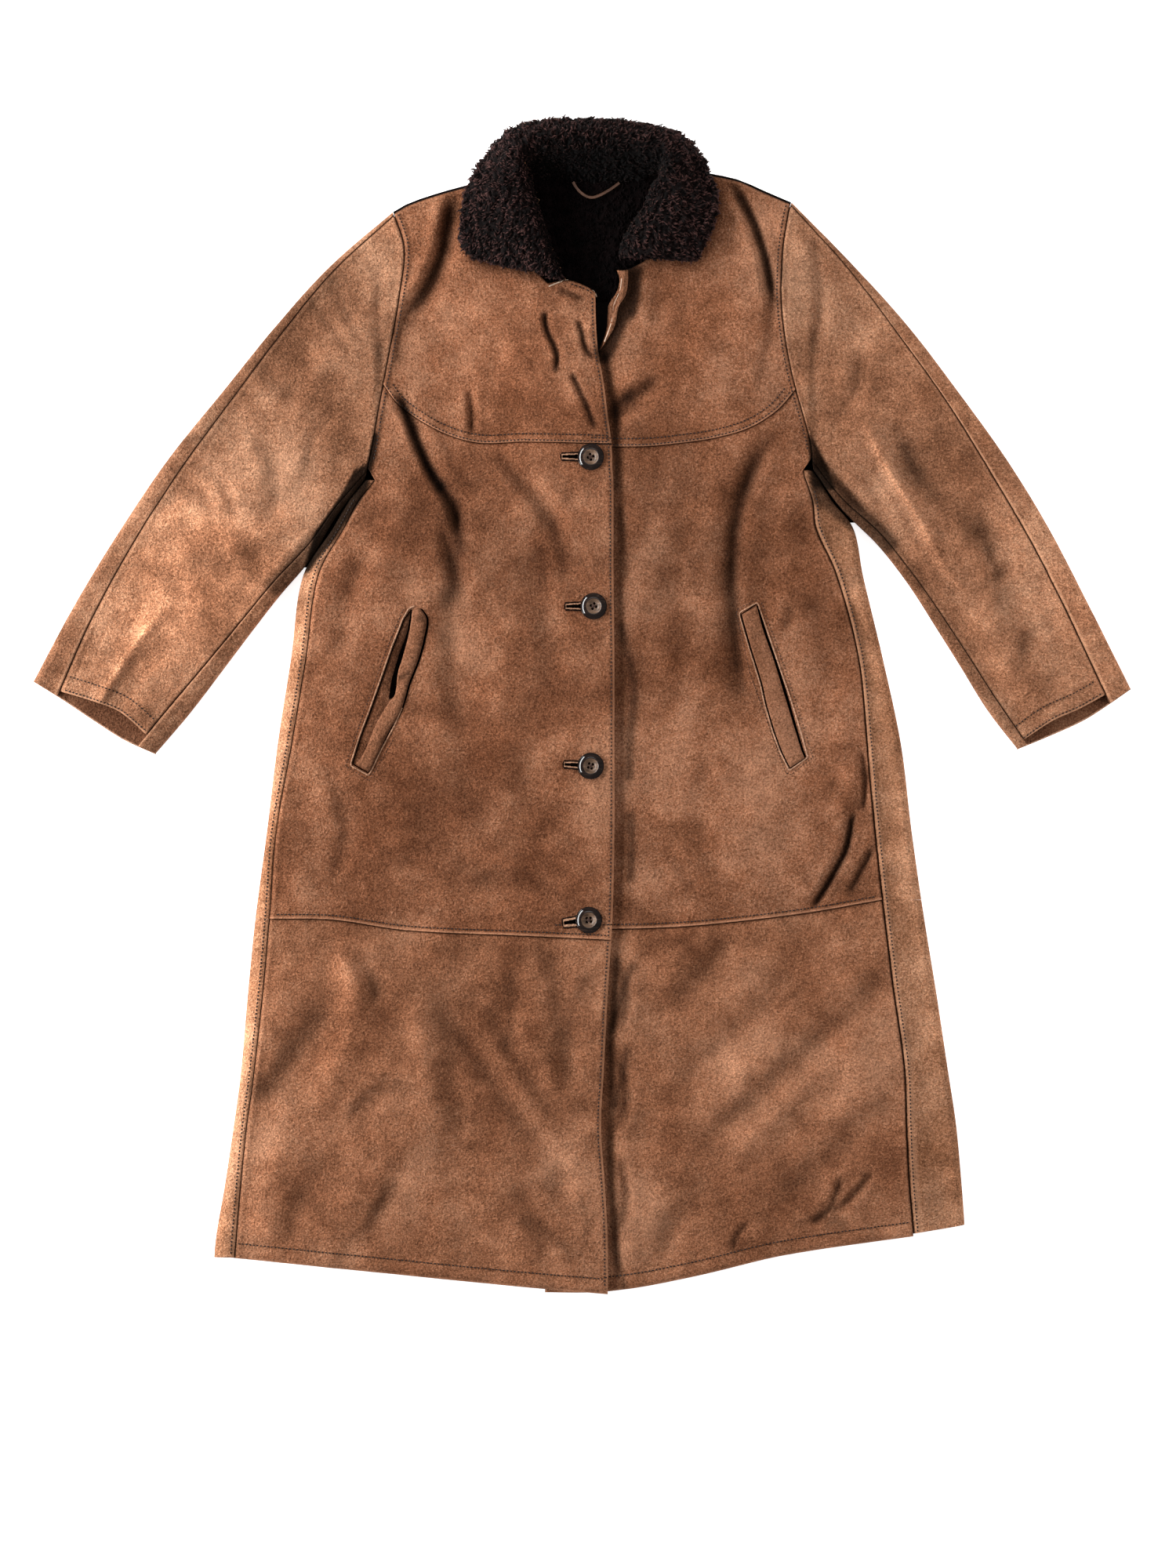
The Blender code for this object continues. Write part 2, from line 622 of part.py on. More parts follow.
def fold_section(spot, strip):
    """Outer and inner points of a side fold and its strip, from the foot to the seam on top.

    spot gives the plan point at a reach from the fold; strip is the seam's reach.
    """
    crown = level(*spot(FOLD_RADIUS))
    outer = []
    inner = []
    for (reach, rise), (reach_inside, rise_inside) in fold_profile(crown, lower_face(0, 0, crown)):
        outer.append((*spot(reach), rise))
        inner.append((*spot(reach_inside), rise_inside))
    seam = spot(strip)
    top = level(*seam)
    outer.append((*seam, top))
    inner.append((*seam, lower_face(*seam, top)))
    return outer, inner


def back_panel(node, levels, cut_rows, low, high):
    """A back piece: flat on the surface, wrapped up round both sides below the underarm.

    levels are pairs (y at the right side, y at the left side); the last cut_rows end square.
    """
    half = SEAM_GAP / 2
    first_cut = len(levels) - cut_rows
    folds = []
    feet = ([], [])
    for j, (right_y, left_y) in enumerate(levels):
        right_x = RIGHT_SIDE.x_at(right_y) + half
        left_x = LEFT_SIDE.x_at(left_y) - half
        seams = (RIGHT_SEAM.x_at(right_y) - half - right_x, left_x - LEFT_SEAM.x_at(left_y) - half)
        pair = []
        for x, y, towards, seam in ((right_x, right_y, 1, seams[0]), (left_x, left_y, -1, seams[1])):
            def spot(reach, x=x, y=y, towards=towards):
                return (x + towards * reach, y)
            pair.append(fold_section(spot, seam if j < first_cut else FOLD_RADIUS + 1))
        folds.append(pair)
        reach = FOLD_RADIUS if j < first_cut else 0.0
        feet[0].append((right_x + reach, right_y))
        feet[1].append((left_x - reach, left_y))
    bottom = fill(feet[0], feet[1], low, high)
    sheets = []
    for index, z in ((0, 0.0), (1, BACK_WALL)):
        sheets.append([list(reversed(pair[0][index]))[:-1] + [(x, y, z) for x, y in row]
                       + pair[1][index][1:] for pair, row in zip(folds, bottom)])
    edge_cells = FOLD_STEPS + 1
    last_cell = len(sheets[0][0]) - 1 - edge_cells

    def keep(row, column):
        return row < first_cut - 1 or edge_cells <= column < last_cell

    wall(node, *sheets, keep=keep)


def steps_between(start, end, count):
    return [mix(start, end, step / count) for step in range(count + 1)]


def back_panels():
    half = SEAM_GAP / 2
    columns = 2 * SHOULDER_COLUMNS + NECK_COLUMNS
    hem = Line(BACK_HEM).stations(columns)
    seam = Line(BACK_SKIRT_SEAM).stations(columns)
    low_levels = steps_between((-576, -551), (-222 - half, -202 - half), SKIRT_ROWS)
    back_panel("back_skirt", low_levels, 0, hem, [(x, y - half) for x, y in seam])
    top = join(Line(RIGHT_SHOULDER).stations(SHOULDER_COLUMNS),
               Line(BACK_NECKLINE).stations(NECK_COLUMNS),
               Line(LEFT_SHOULDER).stations(SHOULDER_COLUMNS))
    below = steps_between((-222 + half, -202 + half), (UNDERARM_RIGHT, UNDERARM_LEFT), SIDE_ROWS)
    above = [(a[1], b[1]) for a, b in zip(RIGHT_ARMHOLE[1:], LEFT_ARMHOLE[1:])]
    back_panel("back", below + above, len(above), [(x, y + half) for x, y in seam], top)


def unit(a, b):
    size = math.dist(a, b)
    return ((b[0] - a[0]) / size, (b[1] - a[1]) / size)


def sleeve(side, rows, cuff, cuff_under, armhole):
    """Front and back of one sleeve; the back wraps up round both edges to the seams on top."""
    half = SEAM_GAP / 2
    cuts = [SleeveSection(*row) for row in Line(rows).stations(SLEEVE_ROWS)]
    widths = [math.dist(cut[:2], cut[-2:]) for cut in cuts]
    armhole = list(reversed(armhole))
    cuff_line = Line(cuff_under).stations(12)

    def spot_on(j, share):
        """A plan point on cut j, at a share of its length from the outer fold to the inner."""
        v = j / SLEEVE_ROWS
        x, y = mix(cuts[j][:2], cuts[j][-2:], share)
        for line, weight in ((armhole, (1 - v)**2), (cuff_line, v**2)):
            bow = on_points(line, share)
            straight = mix(line[0], line[-1], share)
            x += (bow[0] - straight[0]) * weight
            y += (bow[1] - straight[1]) * weight
        return (x, y)

    seams = ([], [])
    folds = []
    for j, (cut, width) in enumerate(zip(cuts, widths)):
        outer_strip = max(cut.outer_strip, FOLD_RADIUS + 1)
        inner_strip = max(cut.inner_strip, FOLD_RADIUS + 1)

        def near(reach, j=j, width=width):
            return spot_on(j, reach / width)

        def far(reach, j=j, width=width):
            return spot_on(j, 1 - (reach + VALLEY_GAP) / width)

        seams[0].append(near(outer_strip))
        seams[1].append(far(inner_strip))
        folds.append((fold_section(near, outer_strip - half), fold_section(far, inner_strip - half)))
    inside = [p for p in armhole if seams[1][0][1] + 3 < p[1] < seams[0][0][1] - 3]
    start = [seams[0][0]] + inside + [seams[1][0]]
    end = Line(cuff).stations(len(start) - 1)
    for edge, corner in ((seams[0], 0), (seams[1], -1)):
        along = segment_gap(*end[corner], edge[-2], edge[-1])[1]
        edge[-1] = mix(edge[-2], edge[-1], min(along, 1.0))
        end[corner] = edge[-1]
    lay_panel("sleeve_front_" + side, fill(*seams, start, end), level)

    shares = [share for share, p in zip(shares_of(armhole), armhole) if p in inside]
    sheets = []
    for index, z in ((0, 0.0), (1, BACK_WALL)):
        sheet = []
        for j, (near_fold, far_fold) in enumerate(folds):
            flat = [(*spot_on(j, share), z) for share in shares]
            sheet.append(list(reversed(near_fold[index])) + flat + far_fold[index])
        sheets.append(pull_ends(sheet, ARMHOLE_CLEAR, half))
    wall("sleeve_back_" + side, *sheets)


def pull_ends(sheet, first_shift, last_shift):
    """Shorten a sheet at its first and last rows."""
    moved = [list(row) for row in sheet]
    for j, neighbour, shift in ((0, 1, first_shift), (len(sheet) - 1, len(sheet) - 2, last_shift)):
        for i, point in enumerate(sheet[j]):
            towards = Vector(sheet[neighbour][i]) - Vector(point)
            towards.z = 0
            moved[j][i] = tuple(Vector(point) + towards.normalized() * shift)
    return moved


# ---- collar, welts, buttons and loop -----------------------------------------------------------
def surface_tree(*nodes):
    """The upper faces of finished pieces, for setting others on them."""
    points = []
    faces = []
    for node in nodes:
        mesh = bpy.data.objects[node].data
        base = len(points)
        points += [v.co / MM for v in mesh.vertices]
        faces += [[base + k for k in polygon.vertices] for polygon in mesh.polygons]
    return BVHTree.FromPolygons(points, faces)


def rest_height(tree, x, y, spread=0.0):
    """Highest upper face under a spot, or 0 on the bare surface."""
    ring = [(0, 0)] + [(spread * math.cos(a), spread * math.sin(a))
                       for a in (k * math.pi / 4 for k in range(8))]
    highest = 0.0
    for dx, dy in ring if spread else ring[:1]:
        hit = tree.ray_cast(Vector((x + dx, y + dy, 100)), Vector((0, 0, -1)))[0]
        if hit is not None:
            highest = max(highest, hit.z)
    return highest


def collar_path(kind, inner, outer):
    """Middle line of the collar's wall for a kind between side (0), corner (1) and back (2)."""
    first = min(int(kind), 1)
    low = COLLAR_PATHS[NECK_STAND[first]]
    high = COLLAR_PATHS[NECK_STAND[first + 1]]
    path = [mix(a, b, kind - first) for a, b in zip(low, high)]
    half = COLLAR_WALLS[4] / 2
    inmost = min(w for w, z in path)
    outmost = max(w for w, z in path)
    shaped = []
    for w, z in path:
        if w < 0 and inmost < -3:
            w *= (inner - half) / -inmost
        elif w > 0:
            w *= (outer - half) / outmost
        shaped.append((w, z))
    return shaped


def collar_ring(section, tree):
    """Closed ring of one section: fleece face out along the path, skin face back."""
    path = collar_path(section.kind, section.inner, section.outer)
    aim = math.radians(section.aim)
    ahead = (math.cos(aim), math.sin(aim))
    lifted = []
    for index, (w, z) in enumerate(path):
        if index >= 5 and section.kind < 0.9:
            spot = (section.seam_x + ahead[0] * w, section.seam_y + ahead[1] * w)
            floor = rest_height(tree, *spot, spread=COLLAR_SPREAD)
            z = max(z, floor + COLLAR_WALLS[index] / 2 + 1.0)
        lifted.append((w, z))
    fleece = []
    skin = []
    for index, (w, z) in enumerate(lifted):
        a = lifted[max(index - 1, 0)]
        b = lifted[min(index + 1, len(lifted) - 1)]
        tangent = unit(a, b)
        half = COLLAR_WALLS[index] / 2
        fleece.append((w - tangent[1] * half, max(z + tangent[0] * half, 0.4)))
        skin.append((w + tangent[1] * half, max(z - tangent[0] * half, 0.4)))
    ring = fleece + list(reversed(skin))
    return [(section.seam_x + ahead[0] * w, section.seam_y + ahead[1] * w, z) for w, z in ring]


def collar():
    tree = surface_tree("yoke_right", "yoke_left", "back")
    rows = []
    line = Line(COLLAR)
    for index in range((len(COLLAR) - 1) * COLLAR_STEPS + 1):
        position = index * Line.SPAN_STEPS // COLLAR_STEPS
        rows.append(collar_ring(CollarSection(*line.points[position]), tree))
    bm = bmesh.new()
    rings = [[bm.verts.new(place(p)) for p in row] for row in rows]
    count = len(rings[0])
    for ring, after in zip(rings, rings[1:]):
        for i in range(count):
            k = (i + 1) % count
            bm.faces.new((ring[i], ring[k], after[k]))
            bm.faces.new((ring[i], after[k], after[i]))
    half = count // 2
    for ring in (rings[0], rings[-1]):
        for i in range(half - 1):
            bm.faces.new((ring[i], ring[i + 1], ring[count - 2 - i]))
            bm.faces.new((ring[i], ring[count - 2 - i], ring[count - 1 - i]))
    bmesh.ops.recalc_face_normals(bm, faces=bm.faces)
    mesh = bpy.data.meshes.new("collar")
    bm.to_mesh(mesh)
    bm.free()
    mesh.shade_smooth()
    add_object("collar", mesh, "fleece")


def welts():
    """Pocket welts, made on the fronts' own faces and moved out."""
    tree = surface_tree("front_right", "front_left")
    columns, rows = 3, 10
    for welt in WELTS:
        outer = []
        inner = []
        for j in range(rows + 1):
            a = mix(welt.seam_low, welt.seam_top, j / rows)
            b = mix(welt.free_low, welt.free_top, j / rows)
            under = []
            for i in range(columns + 1):
                x, y = mix(a, b, i / columns)
                under.append((x, y, rest_height(tree, x, y, spread=4.0) + 0.4))
            puff = welt.bulge * math.sin(math.pi * j / rows)
            lift = [0.0, 0.5, 1.0, 0.4]
            outer.append([(x, y, z + WELT_WALL + puff * k) for (x, y, z), k in zip(under, lift)])
            inner.append(under)
        wall(welt.node, outer, inner)


def buttons():
    """Turned buttons, each resting on the placket round its buttonhole."""
    tree = surface_tree("skirt_front_right", "front_right", "yoke_right")
    profile = [(0, 2.6), (8.2, 2.6), (10, 3.9), (12.2, 4.5), (BUTTON_RADIUS, 3.0), (13.2, 1.0),
               (10, 0), (0, 0)]
    for node, (x, y) in BUTTONS.items():
        bm = bmesh.new()
        points = [bm.verts.new((r * MM, 0, z * MM)) for r, z in profile]
        for a, b in zip(points, points[1:]):
            bm.edges.new((a, b))
        mesh = bpy.data.meshes.new(node)
        bm.to_mesh(mesh)
        bm.free()
        button = add_object(node, mesh, "horn")
        turn = button.modifiers.new("turn", "SCREW")
        turn.steps = 20
        turn.render_steps = 20
        turn.use_merge_vertices = True
        turn.merge_threshold = 0.0001
        turn.use_smooth_shade = True
        seat = max(rest_height(tree, x, y, spread=r) for r in (4, 9, 13))
        button.location = place((x, y, seat + 0.4))


def hanger_loop():
    """Thin leather strap that sags from the back neck seam."""
    data = bpy.data.curves.new("hanger_loop", "CURVE")
    data.dimensions = "3D"
    data.bevel_depth = LOOP_RADIUS * MM
    data.bevel_resolution = 2
    data.use_fill_caps = True
    spline = data.splines.new("POLY")
    spline.points.add(len(HANGER_LOOP) - 1)
    height = BACK_WALL + LOOP_RADIUS + 0.3
    for point, (x, y) in zip(spline.points, HANGER_LOOP):
        point.co = (*place((x, y, height)), 1.0)
    loop = bpy.data.objects.new("hanger_loop", data)
    data.materials.append(material("hanger_loop", "loop"))
    COAT.objects.link(loop)


clear_scene()
COAT = new_collection("shearling_coat")
back_panels()
right_fronts()
left_fronts()
sleeve("right", RIGHT_SLEEVE, RIGHT_CUFF, RIGHT_CUFF_UNDER, RIGHT_ARMHOLE)
sleeve("left", LEFT_SLEEVE, LEFT_CUFF, LEFT_CUFF_UNDER, LEFT_ARMHOLE)
collar()
welts()
buttons()
hanger_loop()
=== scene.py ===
"""Looks of the shearling coat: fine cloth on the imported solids, fleece, stitching, buttons.

Plan sizes are millimetres in the coat's own frame; place() turns them into metres once.
"""
import math

import bmesh
import bpy
import numpy as np
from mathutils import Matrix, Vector
from mathutils import noise as turbulence
from mathutils.bvhtree import BVHTree


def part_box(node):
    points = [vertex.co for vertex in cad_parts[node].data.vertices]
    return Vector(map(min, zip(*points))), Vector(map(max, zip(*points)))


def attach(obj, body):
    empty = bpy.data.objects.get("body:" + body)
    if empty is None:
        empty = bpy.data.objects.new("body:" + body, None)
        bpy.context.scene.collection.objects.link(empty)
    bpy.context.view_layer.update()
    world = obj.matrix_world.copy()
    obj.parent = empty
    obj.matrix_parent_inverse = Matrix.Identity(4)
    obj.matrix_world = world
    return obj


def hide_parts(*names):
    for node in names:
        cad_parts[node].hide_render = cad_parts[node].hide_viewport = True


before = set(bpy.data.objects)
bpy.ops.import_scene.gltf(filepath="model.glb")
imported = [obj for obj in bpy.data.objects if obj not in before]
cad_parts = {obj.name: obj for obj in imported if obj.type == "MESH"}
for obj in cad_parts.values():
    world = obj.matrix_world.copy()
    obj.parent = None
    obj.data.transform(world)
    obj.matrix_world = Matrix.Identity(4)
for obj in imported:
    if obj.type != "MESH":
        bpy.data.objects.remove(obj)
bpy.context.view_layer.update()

MM = 0.001
BACK_WALL = 8.5
FRONT_WALL = 9.0
FLOOR = 9.0            # lowest point of the upper layer
TOP_LEVEL = 18.5
FOLD_RADIUS = 9.5
FOLD_WALL = 8.0
EDGE_DROP = 3.5
EDGE_REACH = 16.0
BUTTON_CALM = 30.0     # radius of the level cloth round a button
UNDERARM_TURN = 13.0
UNDERLAP_LEVEL = 14.0
LEAST_LEVEL = 10.6
OVERLAP_RISE = 1.2
VALLEY_WIDTH = 26.0
PLACKET_MARGIN = 4.0
VALLEY_GAP = 0.3
GAP = 0.15
SHOULDER_INSET = 2.4
FACING = 26.0          # suede turned in at hems and fronts
CUFF_FACING = 40.0     # and at the under sleeves' cuffs
SEAM_ALLOWANCE = 0.02  # metres, both sides together
TURNED_WALL = 4.0      # skin folded on itself at hems and cuffs, without wool
HOLLOW_SHADE = 0.075   # stops of painted shade in a fold 1 mm deep
INSIDE_SHADE = -0.6    # and painted shade on the wool's side
COLLAR_STOPS = 1.5     # shade of the collar on the cloth beside it
ABOVE = 90.0           # height from which rays are dropped on the coat
FAR = 1e9
PITCH = 3.4            # spacing of the cloth's grid
CLOSE_PITCH = 2.2      # and near the front edges
CLOSE_REACH = 62.0
YOKE_PITCH = 2.6
UNDERARM = {"right": 237, "left": 247}
YOKE_AT_ARMHOLE = {"right": 337, "left": 332}
SHOULDER_TOP = {"right": 518, "left": 528}
RNG = np.random.default_rng(20)
turbulence.seed_set(12)     # its vectors differ from run to run without a seed

# ---- outlines and seams, as in the part's source -------------------------------------------------
# y, right side, right seam, over edge, under edge, left seam, left side
BODY = np.array([
    (-615, -387, -366, 27, -39, 349, 404), (-560, -384, -362, 27, -39, 347, 401),
    (-500, -374, -357, 24, -38, 342, 397), (-440, -365, -351, 20, -38, 339, 392),
    (-380, -357, -343, 23, -38, 337, 383), (-300, -350, -334, 27, -37, 326, 371),
    (-220, -342, -327, 32, -36, 316, 358), (-130, -330, -320, 34, -35, 306, 345),
    (-40, -319, -304, 34, -34, 298, 334), (50, -305, -289, 34, -32, 289, 315),
    (138, -292, -276, 33, -29, 266, 294), (187, -261, -249, 33, -26, 244, 284),
    (215, -245, -234, 33, -24, 241, 262), (237, -228, -217, 33, -21, 234, 249),
    (247, -225, -214, 32, -20, 231, 242), (275, -219, -219, 31, -17, 239, 239),
    (305, -214, -214, 27, -5, 231, 231), (337, -208, -208, 23, 7, 222, 222),
    (380, -200, -200, 16, 21, 213, 213), (430, -191, -191, 14, 40, 208, 208),
    (480, -186, -186, 14, 42, 210, 210), (518, -198, -198, 14, 41, 216, 216),
    (528, -201, -201, 14, 41, 219, 219)], dtype=float)
# outer x, outer y, outer strip, inner strip, inner x, inner y
SLEEVE = {
    "right": [(-198, 518, 4, 9, -228, 237), (-264, 461, 7, 13, -259, 196),
              (-322, 397, 11, 17, -285, 153), (-377, 329, 14, 18, -317, 115),
              (-432, 261, 18, 18, -348, 75), (-481, 189, 20, 19, -378, 35),
              (-530, 109, 24, 21, -411, -8), (-574, 27, 30, 20, -446, -49)],
    "left": [(219, 528, 3, 9, 242, 247), (280, 466, 7, 11, 272, 206),
             (339, 401, 16, 13, 310, 168), (392, 332, 19, 13, 341, 128),
             (443, 261, 25, 14, 368, 86), (489, 186, 26, 14, 395, 43),
             (532, 103, 26, 14, 424, -4), (574, 19, 27, 11, 455, -44)]}
YOKE_SEAM = {
    "right": [(-208, 337), (-191, 315), (-151, 289), (-110, 276), (-60, 277), (31, 275)],
    "left": [(-17, 274), (60, 272), (106, 276), (143, 282), (175, 292), (203, 310), (222, 332)]}
SKIRT_SEAM = {
    "right": [(-327, -222), (-260, -223), (-183, -234), (-53, -240), (31, -244)],
    "left": [(-36, -233), (60, -232), (130, -228), (233, -216), (314, -202)]}
HEM = {
    "right": [(-364, -577), (-333, -580), (-215, -592), (-84, -605), (27, -614.6)],
    "left": [(-39, -613), (27, -612), (113, -597), (211, -574), (346, -554)]}
BACK_HEM = [(-385, -575), (-215, -588), (20, -604), (211, -571), (400, -542)]
BACK_SKIRT_SEAM = [(-342, -220), (0, -238), (356, -196)]
SHOULDER = {"right": [(-198, 518), (-182, 527), (-150, 538), (-117, 547), (-84, 556)],
            "left": [(106, 563), (146, 556), (166, 551), (191, 540), (219, 528)]}
NECKLINE = {"right": [(-84, 556), (-79, 525), (-67, 490), (-50, 458), (-36, 443)],
            "left": [(49, 458), (66, 468), (88, 490), (102, 520), (106, 563)]}
RIGHT_NECK_EDGE = [(-36, 443), (-14, 446), (6, 439), (14, 433)]
BACK_NECKLINE = [(-84, 556), (-43, 550), (12, 545), (66, 550), (106, 563)]
CUFF = {"right": [(-545, 16), (-507, 4), (-483, -6), (-456, -29)],
        "left": [(547, 13), (521, -2), (492, -15), (460, -37)]}
CUFF_UNDER = {"right": [(-574, 27), (-545, 9), (-509, -15), (-479, -34), (-446, -49)],
              "left": [(574, 19), (531, -10), (505, -23), (455, -44)]}
BUTTONS = {"button_top": (9, 261), "button_upper": (12, 105), "button_lower": (9, -62),
           "button_bottom": (7, -223)}


def table(text):
    """Rows of numbers, a bar, and the row's points x,y; a line without a bar goes on with the row above."""
    rows = []
    for line in text.strip().splitlines():
        if line.startswith("#"):
            continue
        head, bar, tail = line.partition("|")
        if bar:
            rows.append([*map(float, head.split()), []])
        rows[-1][-1] += [tuple(map(float, spot.split(","))) for spot in (tail if bar else head).split()]
    return rows


